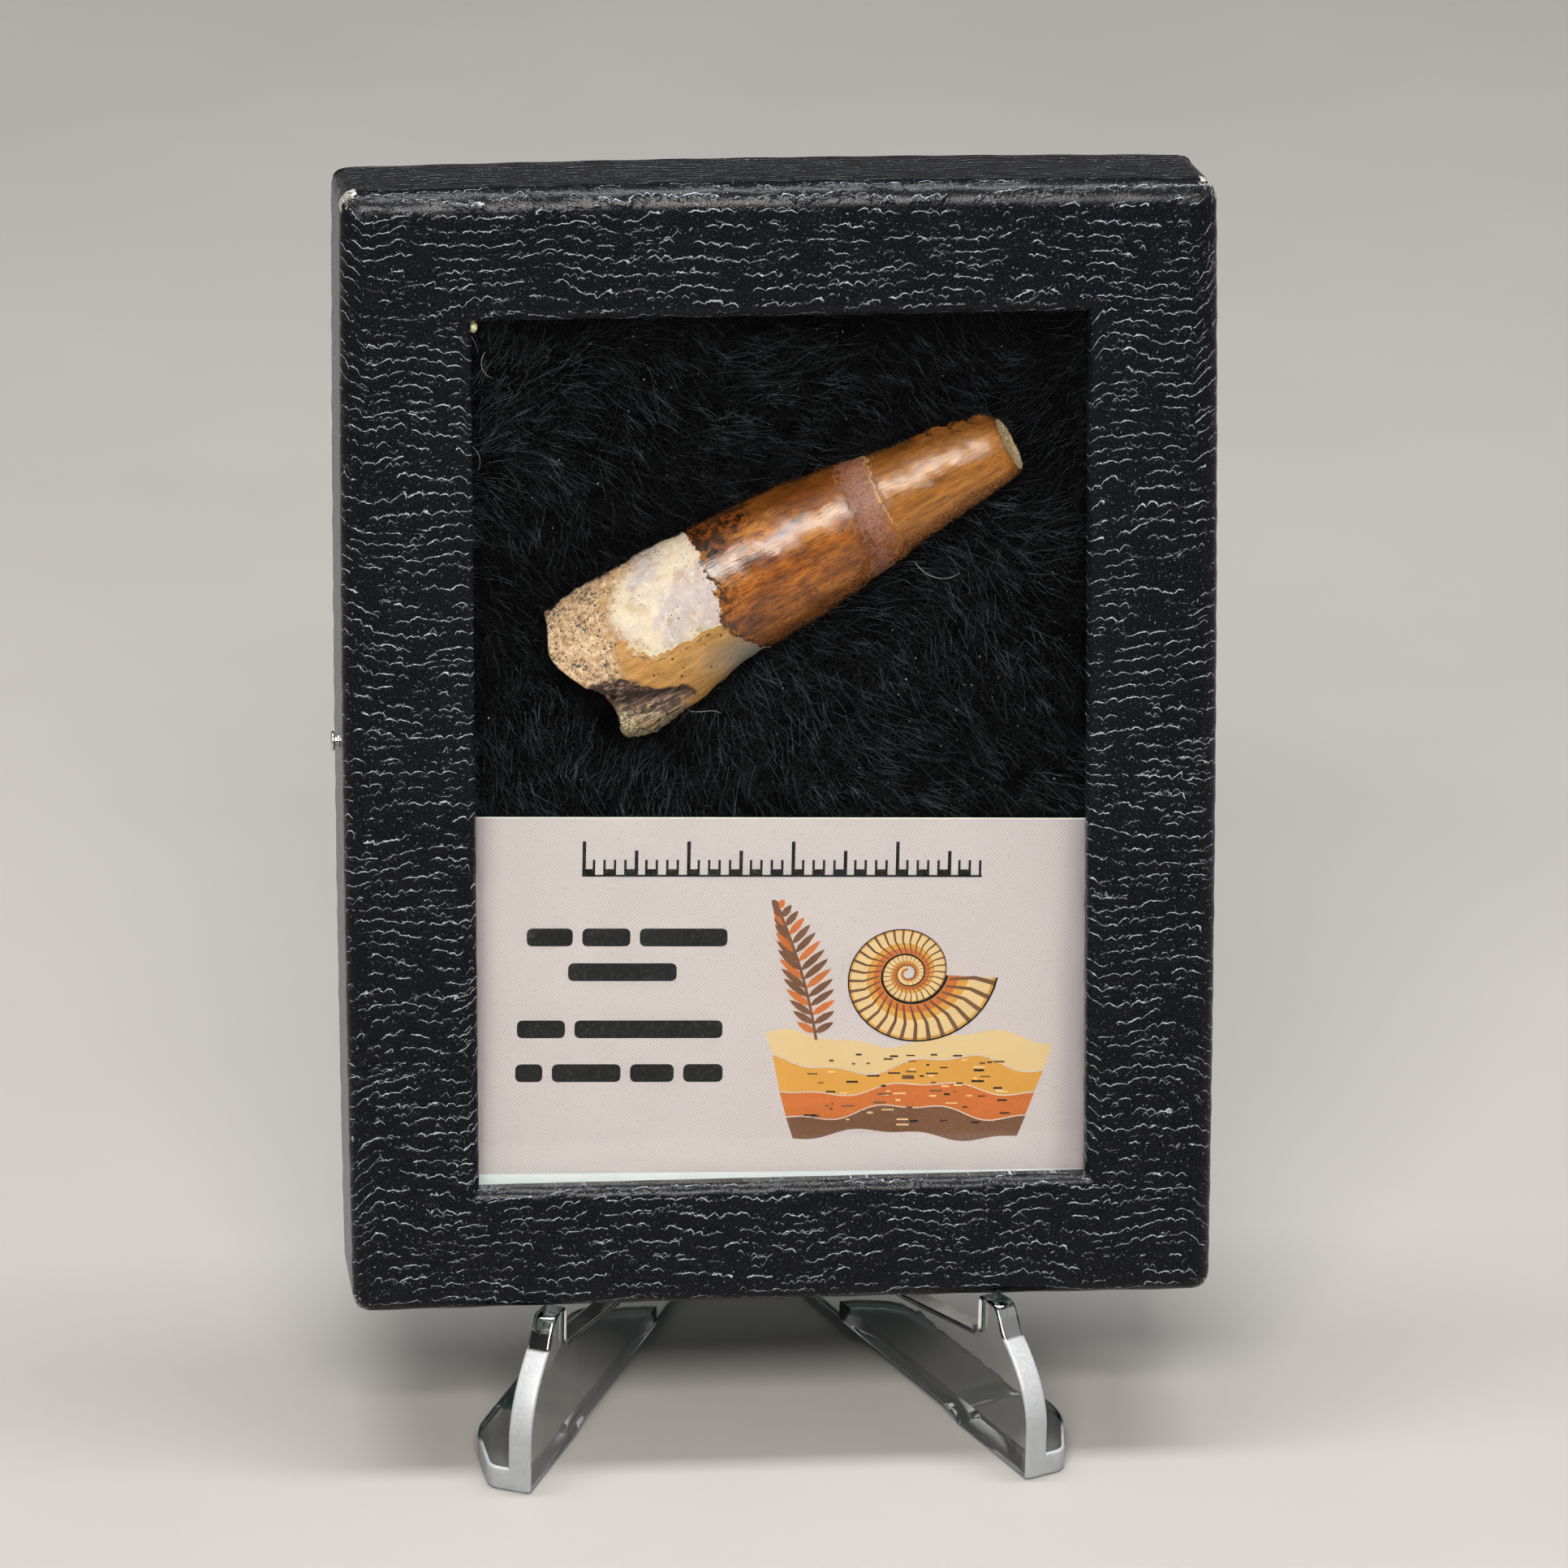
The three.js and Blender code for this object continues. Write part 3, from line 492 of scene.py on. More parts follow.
def embossed_rows(spacing, shift, width, share):
    """One set of rows of cushions: its height, and a mask of the bright upper edges of its cushions."""
    moved = add(tree, SHIFT, [sheet_place, (shift, 2 * shift, shift)])
    drift = add(tree, NOISE, {"Vector": moved, "Scale": 0.1, "Detail": 1.0})
    wander = add(tree, NOISE, {"Vector": moved, "Scale": 0.42, "Detail": 2.0})
    beat = add(tree, TIMES_PLUS, [wander, 2.2, (TIMES_PLUS, across, 1 / width, shift)])
    row = add(tree, TIMES_PLUS, [wander, 0.85, (TIMES_PLUS, drift, 4.6, upward_mm)])
    row = add(tree, TIMES, [row, 1 / spacing])
    cushion = add(tree, JOIN, [(FLOOR, beat), (FLOOR, row), shift])
    luck = add(tree, "ShaderNodeTexWhiteNoise", [cushion], out="Color")
    luck = add(tree, "ShaderNodeSeparateColor", [luck]).node.outputs
    arch = add(tree, SIZE_OF, [(SINE, (TIMES, beat, math.pi))])

    # millimetres above the cushion's arched and slightly jagged upper edge
    bulge = add(tree, TIMES_PLUS, [luck["Red"], 0.3, 0.12])
    above = add(tree, TIMES_PLUS, [(FRACTION, row), spacing, -spacing / 2])
    above = add(tree, MINUS, [above, (TIMES, arch, bulge)])
    above = add(tree, TIMES_PLUS, [luck["Green"], 0.15, above])
    jags = add(tree, NOISE, {"Vector": moved, "Scale": 3.2, "Detail": 1.0})
    above = add(tree, TIMES_PLUS, [jags, 0.3, (PLUS, above, -0.15)])

    # where the rows show at all; a cushion's own chance lets the line break
    broken = add(tree, NOISE, {"Vector": (STRETCH, moved, (0.55, 1.0, 1.0)), "Scale": 0.55, "Detail": 2.0,
                               "Distortion": 0.4})
    broken = add(tree, TIMES_PLUS, [luck["Blue"], 0.24, broken])
    shown = add(tree, EASED, [broken, 1.13 - share - 0.05, 1.13 - share + 0.05])
    shown = add(tree, TIMES, [shown, (SPREAD, arch, 0.0, 0.3, 0.5)])
    swell = add(tree, TIMES, [(SPREAD, above, 0.1, 0.0), (EASED, above, -0.5 * spacing, -0.1)])
    height = add(tree, TIMES, [swell, shown])
    crest = add(tree, TIMES, [(SPREAD, (SIZE_OF, above), 0.08, 0.02), shown])
    return height, crest


main_height, main_crest = embossed_rows(1.4, 3.1, 1.4, 0.55)
small_height, small_crest = embossed_rows(1.05, 8.7, 0.8, 0.42)
height = add(tree, TIMES_PLUS, [small_height, 0.6, main_height])
crest = add(tree, MOST, [main_crest, (TIMES, small_crest, 0.7)])
cloud = add(tree, NOISE, {"Vector": sheet_place, "Scale": 0.12, "Detail": 2.0})
dusty = add(tree, NOISE, {"Vector": sheet_place, "Scale": 7.0, "Detail": 1.0})
# painted highlight: pale specks stand in for the small glints on the grain
glint_specks = add(tree, NOISE, {"Vector": sheet_place, "Scale": 3.0, "Detail": 3.0, "Roughness": 0.7})
rubbed = add(tree, NOISE, {"Vector": sheet_place, "Scale": 1.3, "Detail": 3.0})
# painted highlight, partly wear: the cushions' upper edges are tinted pale for the light they catch, in
# patches where they are also rubbed
crest_highlight_and_wear = add(tree, TIMES, [(SPREAD, crest, 0.35, 1.0, 0.0, 0.74), (SPREAD, rubbed, 0.38, 0.6, 0.3)])
nibble = add(tree, NOISE, {"Vector": sheet_place, "Scale": 1.6, "Detail": 4.0})
from_corner = add(tree, VALUE_OF, out="Fac", attribute_name="corner")
bare_paper = add(tree, SPREAD, [(MINUS, from_corner, (TIMES_PLUS, nibble, -2.4, 2.55)), -0.1, 0.35])
coat = coated(
    tree, "#020304",
    (cloud, "#050608"),
    ((SPREAD, dusty, 0.48, 0.66), "#111217"),
    ((SPREAD, glint_specks, 0.64, 0.7, 0.0, 0.8), "#6d7178"),
    (crest_highlight_and_wear, "#8f959d"),
    (bare_paper, "#8d8a84"),
)
pebbles = add(tree, CELLS, {"Vector": sheet_place, "Scale": 2.6}, feature="SMOOTH_F1")
crumbs = add(tree, NOISE, {"Vector": sheet_place, "Scale": 5.5, "Detail": 2.0})
gloss = add(tree, SPREAD, [crumbs, 0.3, 0.7, 0.19, 0.28])
grain = add(tree, TIMES_PLUS, [dusty, 0.4, (TIMES_PLUS, crumbs, 0.3, (TIMES, pebbles, 0.16))])
grain = add(tree, BUMP, {"Height": grain, "Strength": 1.0, "Distance": 0.05 * MM})
relief = add(tree, BUMP, {"Height": height, "Strength": 1.0, "Distance": 0.065 * MM, "Normal": grain})
feed(tree, surface, {"Base Color": coat, "Roughness": gloss, "Normal": relief, "IOR": 1.5,
                     "Specular IOR Level": 0.1})

lid = make_object("lid_leatherette", np.concatenate(points), faces, [leatherette])
store(lid, corner=np.concatenate(bare), sheet=np.concatenate(sheet))
with edited(lid.data) as shape:
    bmesh.ops.remove_doubles(shape, verts=shape.verts, dist=0.001 * MM)
    bmesh.ops.delete(shape, geom=[v for v in shape.verts if not v.link_faces], context="VERTS")
    bmesh.ops.recalc_face_normals(shape, faces=shape.faces)
    print("lid: open edges left", sum(e.is_boundary for e in shape.edges), "triangles",
          sum(len(f.verts) - 2 for f in shape.faces))
lid.data.shade_smooth()
sharpen(lid, 60)
belongs(lid, "leather_grain_paper", "lid")


# %% [markdown]
# ## The tray and the glass
# The lid drops over a second cardboard tray, which holds the wadding. It is wrapped in plain
# black paper, and from behind its floor is what one sees. It is swept as one run of rings: the
# floor outside, the walls, the rim, and the floor inside. The glass is a cut pane with its edges
# just broken, held between the lid's panel and the tray's rim.

# %% Tray and glass
SIDE_STEPS, CORNER_STEPS = 22, 9


def unit_outline():
    """Points of a square of half size 1, once round, closer together at its corners."""
    run = np.linspace(-1, 1, SIDE_STEPS)
    near = 1 - np.linspace(0.06, 0, CORNER_STEPS)[:-1]
    side = np.concatenate([-near[::-1], run[np.abs(run) < 0.93], near])
    square = [(side, -1), (1, side), (-side, 1), (-1, -side)]
    across, up = zip(*[np.broadcast_arrays(a, b) for a, b in square])
    corners = [(1, -1), (1, 1), (-1, 1), (-1, -1)]
    walk_x = np.concatenate([np.append(a, c[0]) for a, c in zip(across, corners)])
    walk_z = np.concatenate([np.append(b, c[1]) for b, c in zip(up, corners)])
    return walk_x.astype(float), walk_z.astype(float)


def box_loft(name, rings, materials):
    """A closed mesh through outlines given as (inset, corner, depth)."""
    walk_x, walk_z = unit_outline()
    made = []
    for inset, corner, depth in rings:
        x, z = box_outline(walk_x, walk_z, inset, corner)
        made.append(in_box(x, depth, z))
    return make_object(name, made, grid_faces(len(rings), len(walk_x), around=True, capped=True), materials)


plain_paper, tree, surface = new_material("plain black wrapping paper")
place = in_mm(tree)
fibre = add(tree, NOISE, {"Vector": (STRETCH, place, (1.0, 1.0, 3.5)), "Scale": 2.2, "Detail": 5.0})
cloud = add(tree, NOISE, {"Vector": place, "Scale": 0.06, "Detail": 3.0})
scuff = add(tree, NOISE, {"Vector": (STRETCH, place, (0.15, 1.0, 0.8)), "Scale": 0.9, "Detail": 6.0})
sheet = coated(tree, "#1d1d1f", (cloud, "#292a2c"), ((SPREAD, fibre, 0.56, 0.74), "#3b3c3e"),
               ((SPREAD, scuff, 0.64, 0.72), "#4a4b4d"))
relief = add(tree, BUMP, {"Height": fibre, "Strength": 0.5, "Distance": 0.04 * MM})
feed(tree, surface, {"Base Color": sheet, "Roughness": 0.72, "Normal": relief, "IOR": 1.5})

TRAY_INSET, TRAY_WALL, TRAY_FLOOR = 1.7, 1.2, 17.6
inner = TRAY_INSET + TRAY_WALL
outside = [(38.0, 0.3, BOX_DEPTH - 0.25), (30.0, 0.3, BOX_DEPTH - 0.22), (20.0, 0.5, BOX_DEPTH - 0.16),
           (10.0, 0.7, BOX_DEPTH - 0.07), (4.5, 0.9, BOX_DEPTH - 0.02), (2.3, 1.0, BOX_DEPTH),
           (1.9, 1.1, BOX_DEPTH - 0.07), (1.76, 1.1, BOX_DEPTH - 0.2), (TRAY_INSET, 1.1, BOX_DEPTH - 0.45)]
inside = [(TRAY_INSET, 1.1, TRAY_RIM + 0.2), (TRAY_INSET + 0.2, 1.1, TRAY_RIM),
          (inner - 0.2, 0.9, TRAY_RIM),
          (inner, 0.7, TRAY_RIM + 0.2), (inner, 0.7, TRAY_FLOOR - 0.2), (inner + 0.2, 0.5, TRAY_FLOOR)]
tray = box_loft("tray_black_paper", outside + inside, [plain_paper])
sharpen(tray, 50)
belongs(tray, "plain_black_paper", "tray")


# %% [markdown]
# ### Glass
# Picture glass is soda-lime float glass, IOR 1.52, clear, with a trace of iron that tints long
# paths green. Transmission and the IOR do all the work, and a thin absorption tints the edges.

# %% Glass material and pane
window_glass, tree, surface = new_material("soda-lime picture glass")
smear = add(tree, NOISE, {"Vector": in_mm(tree), "Scale": 0.09, "Detail": 4.0})
feed(tree, surface, {"Base Color": "#fbfffd", "Transmission Weight": 1.0, "IOR": 1.52,
                     "Roughness": (SPREAD, smear, 0.5, 0.8, 0.0, 0.02)})
tint = add(tree, "ShaderNodeVolumeAbsorption", {"Color": "#bfe6d4", "Density": 6.0})
feed(tree, tree.nodes["Material Output"], {"Volume": tint})

pane = box_loft("glass_pane_clear", [
    (1.86, 0.3, GLASS_FRONT), (TRAY_INSET, 0.3, GLASS_FRONT + 0.16),
    (TRAY_INSET, 0.3, GLASS_BACK - 0.16), (1.86, 0.3, GLASS_BACK),
], [window_glass])
sharpen(pane, 25)
belongs(pane, "window_glass", "glass_pane")


# %% [markdown]
# ## The tooth
# The tooth is one natural piece: a conical crown of polished enamel, an old glued break across
# it, and a rough root whose end is broken off. It is described in its own frame: s runs from the
# root's end to the tip, and an angle goes round, 0 at the glass and 90 degrees at the upper
# edge. Tables give the oval section along s, and the relief stands on it. Regions such as the
# cream patch are outlines on the flattened side, and each becomes a signed distance in mm, which
# moulds the mesh here and colours it later.

# %% The tooth's sizes
TOOTH_LENGTH, ROOT_X, ROOT_Z, RISE = 48.2, -19.8, 60.0, math.radians(28)
CENTRE = [[0, -0.6], [5, -0.95], [10, -0.6], [16, -0.05], [36, -0.05], [43, -0.15], [48.2, -0.5]]
HALF_WIDTH = [[0, 7.1], [5, 7.75], [10, 7.6], [16, 6.9], [25, 6.35], [36, 4.85], [43, 3.9], [48.2, 2.95]]
HALF_DEPTH = [[0, 5.2], [5, 5.6], [10, 5.55], [16, 5.3], [25, 5.0], [36, 3.9], [43, 3.1], [48.2, 2.2]]
AXIS_DEPTH = [[0, 10.6], [16, 10.45], [30, 10.0], [48.2, 8.7]]
ENAMEL_EDGE = [[-180, 17], [-110, 18.4], [-60, 17.6], [-33, 16.2], [-12, 15.5], [8, 16.5],
               [28, 16.3], [50, 16.7], [90, 16.1], [180, 17]]
ROOT_END = [[-180, 1.6], [-120, 2.6], [-75, 2.3], [-50, 2.1], [-28, 3.0], [-12, 2.0], [5, 0.7],
            [30, -0.4], [60, 0.7], [100, 1.1], [180, 1.6]]
HOLLOW, TIP_CHIP, TIP_HOLLOW = 3.2, 1.1, 0.35
TIP_ROUND = 1.3  # how far before its end the tip starts to round off

# Outlines of the regions, as (s, t) in mm, with t measured up across the tooth from its axis.
REGIONS = {
    "sandstone": [(-3, 9), (14.8, 9), (14.6, 7.0), (11.8, 6.9), (8.2, 6.1), (6.2, 4.9), (5.6, 3.1),
                  (5.5, 1.4), (5.0, 0.1), (4.7, -1.5), (2.9, -2.4), (-3, -2.6)],
    "veneer": [(5.9, 3.6), (6.5, 1.6), (7.2, 0.0), (8.4, -1.2), (11.5, -1.5), (15.9, -1.6), (16.9, 0.9),
               (16.9, 7.4), (11.8, 7.4), (8.4, 6.3)],
    "repair": [(33.0, 7.5), (32.6, 5.6), (31.9, 4.6), (31.5, 3.0), (31.8, 1.2), (31.0, 0.3), (31.2, -1.4),
               (30.7, -2.6), (29.4, -4.2), (29.2, -7.5), (33.2, -7.5), (33.4, -3.6), (34.6, -2.6),
               (35.5, -1.5), (34.2, -1.3), (34.1, 1.0), (34.4, 3.0), (34.9, 5.2), (35.2, 7.5)],
    "hollow": [(1.0, -1.6), (3.4, -1.8), (4.9, -2.6), (5.6, -3.9), (6.8, -5.0), (9.3, -6.0), (9.5, -6.9),
               (6.6, -6.5), (4.6, -5.7), (3.0, -5.0), (1.0, -4.6)],
    "splinter": [(1.0, -4.9), (3.4, -5.4), (5.4, -6.3), (8.6, -7.0), (9.2, -8.0), (5.6, -10), (1.0, -10)],
    "rust": [(15.0, 10), (15.2, 5.2), (16.4, 4.2), (18.4, 3.9), (20.4, 4.9), (22.6, 5.8), (24.0, 10)],
}


def region_distance(outline, s, t):
    """Millimetres inside a closed outline, negative outside it."""
    corners = np.array(outline, float)
    nearest = np.full(np.shape(s), 1e9)
    inside = np.zeros(np.shape(s), bool)
    for (ax, ay), (bx, by) in zip(corners, np.roll(corners, -1, 0)):
        side_x, side_y = bx - ax, by - ay
        run = np.clip(((s - ax) * side_x + (t - ay) * side_y) / (side_x**2 + side_y**2), 0, 1)
        nearest = np.minimum(nearest, np.hypot(s - ax - run * side_x, t - ay - run * side_y))
        with np.errstate(divide="ignore", invalid="ignore"):
            crosses = ((ay > t) != (by > t)) & (s < side_x * (t - ay) / side_y + ax)
        inside ^= crosses
    return np.where(inside, nearest, -nearest)


# %% The tooth's surface
def broad_lumps(s, angle):
    """Slow waves, about -1 to 1, along and around the tooth."""
    return (0.5 * np.sin(0.9 * s + 2 * angle) + 0.3 * np.sin(2.1 * s - 3 * angle + 1)
            + 0.35 * np.sin(1.3 * s + 5 * angle + 2.2) + 0.2 * np.sin(3.3 * s + 7 * angle))


def tooth_place(s, angle, size, stand):
    """A point of the section as (s, t, depth): size shrinks it, stand lifts it."""
    t = curve_through(CENTRE, s) + (curve_through(HALF_WIDTH, s) * size + stand) * np.sin(angle)
    depth = curve_through(AXIS_DEPTH, s) - (curve_through(HALF_DEPTH, s) * size + stand) * np.cos(angle)
    return np.stack([s, t, depth], -1)


def tooth_grid(along=325, around=216):
    """s, angle and size of every point, ring by ring from inside the broken root to the tip."""
    angle = np.linspace(-math.pi, math.pi, around, endpoint=False)
    turn = np.degrees(angle)
    root_end = curve_through(ROOT_END, turn)
    tip_end = TOOTH_LENGTH - TIP_CHIP * (0.5 + 0.5 * np.cos(angle))
    rows = []
    for size in np.linspace(0.03, 0.99, 26):
        uneven = 0.3 * np.sin(3 * angle + 6 * size) * min(1, (1 - size) / 0.14)
        rows.append((HOLLOW + (root_end - HOLLOW) * size**1.5 + uneven, size, 1.0, 0.0))
    for share in np.linspace(0, 1, along):
        rows.append((root_end + (tip_end - TIP_ROUND - root_end) * share, 1.0, 0.0, 0.0))
    for size, drop in ((0.992, 1.0), (0.975, 0.7), (0.945, 0.42), (0.905, 0.2), (0.865, 0.06)):
        rows.append((tip_end - drop, size, 0.0, 0.0))
    tip_middle = TOOTH_LENGTH - TIP_CHIP / 2 - TIP_HOLLOW
    for size, share in ((0.83, 0.98), (0.78, 0.92), (0.7, 0.82), (0.6, 0.7), (0.48, 0.5), (0.34, 0.32),
                        (0.2, 0.15), (0.07, 0.04)):
        rows.append((tip_middle + (tip_end - tip_middle) * share, size, 0.0, 1.0))
    columns = list(zip(*rows))
    s = np.array([np.broadcast_to(row, angle.shape) for row in columns[0]])
    size, at_root, at_tip = (np.repeat(np.array(c)[:, None], around, 1) for c in columns[1:])
    return s, np.broadcast_to(angle, s.shape), size, at_root, at_tip


s, angle, size, at_root, at_tip = tooth_grid()
turn = np.degrees(angle)
base = tooth_place(s, angle, size, 0.0)
t = base[..., 1]
grit = rough(base, 2.4, 4)
lump = rough(base, 0.75, 3, seed=1)
wander = rough(base, 1.1, 3, seed=2)
region = {name: region_distance(outline, s, t) + 0.35 * wander for name, outline in REGIONS.items()}
crown = s - curve_through(ENAMEL_EDGE, turn) + 0.55 * wander

# each region's share of a point, from 0 to 1
on_crown = ramp(crown, -0.12, 0.2)
on_root = 1 - on_crown
in_repair = ramp(region["repair"], -0.45, 0.5) * on_crown
stone = np.maximum(ramp(region["sandstone"], -0.3, 0.3), at_root) * on_root
fading = 1 - ramp(s, 7.0, 10.5)  # towards the broken end the sheet thins out
veneer = ramp(region["veneer"], -0.06 - 1.3 * fading, 0.1 + 1.3 * fading) * on_root * (1 - stone)
in_hollow = ramp(region["hollow"], -0.9, 0.4) * (np.abs(turn) < 100)
splinter = ramp(region["splinter"], -0.2, 0.3) * (np.abs(turn) < 100)

# how far the surface stands out there, in mm: the enamel's skin, then the break and what lies past it
stand = (0.16 + (0.05 - 0.16) * on_crown) * broad_lumps(s, angle) + 0.24 * on_crown
stand -= 0.13 * in_repair + 0.2 * ramp(s, 33.6, 34.9) * (1 - in_repair)
# grit and small lumps, coarse on stone, fine elsewhere
stand += (0.16 * grit + 0.1 * lump) * stone + 0.06 * grit * in_repair + 0.018 * lump * on_crown
stand += 0.1 * veneer + 0.02 * grit * on_root + 0.05 * lump * on_root
stand += (0.16 * grit + 0.12 * lump) * splinter
# the valley torn out of the root's lower side narrows and runs out after 9 mm
reach = np.clip((s - 1) / 9.2, 0, 1)
away = (turn - (-24 - 30 * reach)) / (13 - 8 * reach)
stand -= 2.4 * (1 - reach) ** 0.7 * np.exp(-away * away)
stand -= (0.75 + 0.35 * grit + 0.2 * np.sin(9 * t + 2 * s)) * in_hollow
# a crust on the upper edge near the tip, and a rougher lower edge
crusted = ramp(s, 39, 41) * (1 - ramp(s, 46.6, 47.8)) * np.exp(-(((turn - 88) / 22) ** 2))
stand += crusted * (0.28 + 0.16 * np.sin(3.1 * s + 6 * angle) + 0.2 * grit)
under = ramp(s, 18, 24) * np.exp(-(((turn + 84) / 15) ** 2)) * (1 - ramp(s, 44, 47))
stand += under * (0.08 * grit + 0.05 * lump)
stand = np.clip(stand, -4, 0.62)

shaped = tooth_place(s, angle, size, stand * size)
shaped[..., 0] += at_tip * (0.05 * grit - 0.02) + at_root * (0.14 * grit + 0.1 * lump)
print("tooth, mm: length", round(float(np.ptp(shaped[..., 0])), 1), "width",
      round(float(np.ptp(shaped[..., 1])), 1))


# %% [markdown]
# ### Fossil enamel, dentine and root
# Fossil enamel is mineral-stained and polished by handling: amber to dark brown, IOR about 1.6,
# smooth enough for a clear streak of light, with fine grooves along the tooth. The root is
# porous, matt and speckled: tan sandstone clings to its end, a cream sheet of cement covers the
# middle, and ochre dentine shows below it. The old break is filled with a matt pinkish plaster.
# Each region's signed distance, roughened by noise, gives a ragged but crisp edge.

# %% Enamel and root material
fossil, tree, surface = new_material("fossil enamel and root")
place = add(tree, VALUE_OF, out="Vector", attribute_name="tooth_place")
along = add(tree, SPLIT, [place], out="X")
up = along.node.outputs["Y"]
girth, side = (add(tree, VALUE_OF, out="Fac", attribute_name=name) for name in ("girth", "side"))
REGION_NAMES = ("crown", "sandstone", "veneer", "repair", "hollow", "splinter", "rust", "broken_tip")
inside = {name: add(tree, VALUE_OF, out="Fac", attribute_name=name) for name in REGION_NAMES}
fray = add(tree, PLUS, [(NOISE, {"Vector": place, "Scale": 1.9, "Detail": 6.0, "Roughness": 0.65}), -0.5])


def frayed(name, wide):
    """Millimetres inside a region, moved about by noise over a width of wide mm."""
    return add(tree, TIMES_PLUS, [fray, wide, inside[name]])


def edge_of(name, wide, soft):
    """A region's share of the surface, with its edge frayed over wide mm."""
    return add(tree, EASED, [frayed(name, wide), -soft, soft])


def round_dots(where, scale, channel, start, widest, soft):
    """Round dots: a cell's chance, when it is above start, sets how wide its dot is."""
    cell = add(tree, CELLS, {"Vector": where, "Scale": scale}, out="Distance")
    chance = add(tree, "ShaderNodeSeparateColor", [cell.node.outputs["Color"]], out=channel)
    return add(tree, SPREAD, [(MINUS, (SPREAD, chance, start, 1.0, 0.0, widest), cell), 0.0, soft])


# grains, dots and streaks that several of the tints share
grains = add(tree, NOISE, {"Vector": place, "Scale": 1.5, "Detail": 5.0, "Roughness": 0.7})
sand = add(tree, NOISE, {"Vector": place, "Scale": 3.6, "Detail": 4.0, "Roughness": 0.7})
cluster = add(tree, NOISE, {"Vector": place, "Scale": 0.55, "Detail": 2.0})
specks = add(tree, EASED, [(TIMES_PLUS, cluster, 0.32, sand), 0.70, 0.75])
dots = round_dots(place, 1.75, "Red", 0.45, 0.26, 0.05)
streaks = add(tree, NOISE, {"Vector": (STRETCH, place, (0.12, 1.0, 1.0)), "Scale": 2.2, "Detail": 5.0,
                            "Roughness": 0.6})
smudge = add(tree, NOISE, {"Vector": place, "Scale": 0.8, "Detail": 5.0, "Roughness": 0.7})

# sandstone
stone_tint = coated(tree, "#a67247", ((SPREAD, grains, 0.35, 0.65), "#efcfac"), (specks, "#4b443f"),
                    (dots, "#2b2523"))

# cream cement, its fine dots thickest beside its rims
pale = add(tree, NOISE, {"Vector": place, "Scale": 0.3, "Detail": 4.0})
warm = add(tree, NOISE, {"Vector": place, "Scale": 0.6, "Detail": 2.0, "Distortion": 0.6})
fine_dots = add(tree, SPREAD, [(CELLS, {"Vector": place, "Scale": 2.6}), 0.2, 0.14])
near_rim = add(tree, LEAST, [inside["veneer"], (TIMES, inside["crown"], -1.0)])
near_rim = add(tree, MOST, [(SPREAD, near_rim, 1.5, 0.3), (SPREAD, cluster, 0.5, 0.6)])
cement_tint = coated(
    tree, "#ecd5bd",
    ((EASED, pale, 0.4, 0.56), "#d5c0be"),
    ((SPREAD, grains, 0.52, 0.7), "#f6eadd"),
    ((SPREAD, warm, 0.55, 0.72, 0.0, 0.6), "#c49a69"),
    ((TIMES, fine_dots, near_rim), "#2d2725"),
)

# ochre dentine, greyer towards the crown
to_crown = add(tree, TIMES, [(EASED, frayed("crown", 3.0), -6.5, -0.6), (SPREAD, up, -2.6, -5.6)])
pits = round_dots((STRETCH, place, (0.75, 1.2, 1.2)), 1.5, "Green", 0.62, 0.24, 0.06)
ochre = coated(tree, "#cc9650", ((SPREAD, streaks, 0.35, 0.68), "#a06a32"), (to_crown, "#8f857b"),
               ((MOST, dots, pits), "#4a3520"))

# the root: the sheet of cement ends in a pale line, and a crack runs beside that
crisp, ragged = edge_of("veneer", 0.5, 0.15), edge_of("veneer", 4.0, 0.7)
sheet = add(tree, MIX, [(EASED, along, 10.5, 7.0), crisp, ragged])
sheet_rim = frayed("veneer", 0.5)
pale_line = add(tree, TIMES, [(SPREAD, (SIZE_OF, sheet_rim), 0.12, 0.04), (SPREAD, up, 1.6, 0.0)])
beside_sheet = add(tree, SPREAD, [(SIZE_OF, (PLUS, sheet_rim, 0.62)), 0.13, 0.05])
crack = add(tree, TIMES, [(TIMES, beside_sheet, (SPREAD, grains, 0.46, 0.54)), (SPREAD, up, 0.4, -0.6)])
root_tint = coated(tree, ochre, (sheet, cement_tint), (edge_of("sandstone", 3.2, 0.7), stone_tint),
                   (pale_line, "#efe3cd"), (crack, "#4b3423"))

# the crown: amber, streaked along, golden past the break, darker at its edges (painted shade, and a dark
# crust on the upper edge), spotted at its border
broad_streaks = add(tree, NOISE, {"Vector": (STRETCH, place, (0.24, 0.5, 0.5)), "Scale": 1.0,
                                  "Detail": 5.0, "Roughness": 0.6})
fine_lines = add(tree, NOISE, {"Vector": (STRETCH, place, (0.06, 1.0, 1.0)), "Scale": 10.0, "Detail": 3.0})
golden = coated(tree, "#a96925", ((SPREAD, streaks, 0.4, 0.65), "#7c4713"),
                ((SPREAD, fine_lines, 0.52, 0.66, 0.0, 0.7), "#5e3a17"))
# darker towards the upper edge: partly a dark brown crust, partly painted shade along the silhouette
high = add(tree, EASED, [(TIMES_PLUS, fray, 0.5, side), 0.52, 0.96])
# painted shade: darker towards the lower edge, which turns away from the light above
low = add(tree, EASED, [(TIMES_PLUS, fray, 0.6, side), -0.5, -0.95])
crust = add(tree, EASED, [(TIMES_PLUS, fray, 1.1, side), -0.5, -0.85])
crust_tint = add(tree, TINT, [(SPREAD, sand, 0.42, 0.66), "#5a2c16", "#b87c4a"])
amber = add(tree, "ShaderNodeValToRGB", [broad_streaks], stops=[
    (0.3, "#4e230a"), (0.42, "#7d400f"), (0.55, "#9e5814"), (0.7, "#bb7827")])
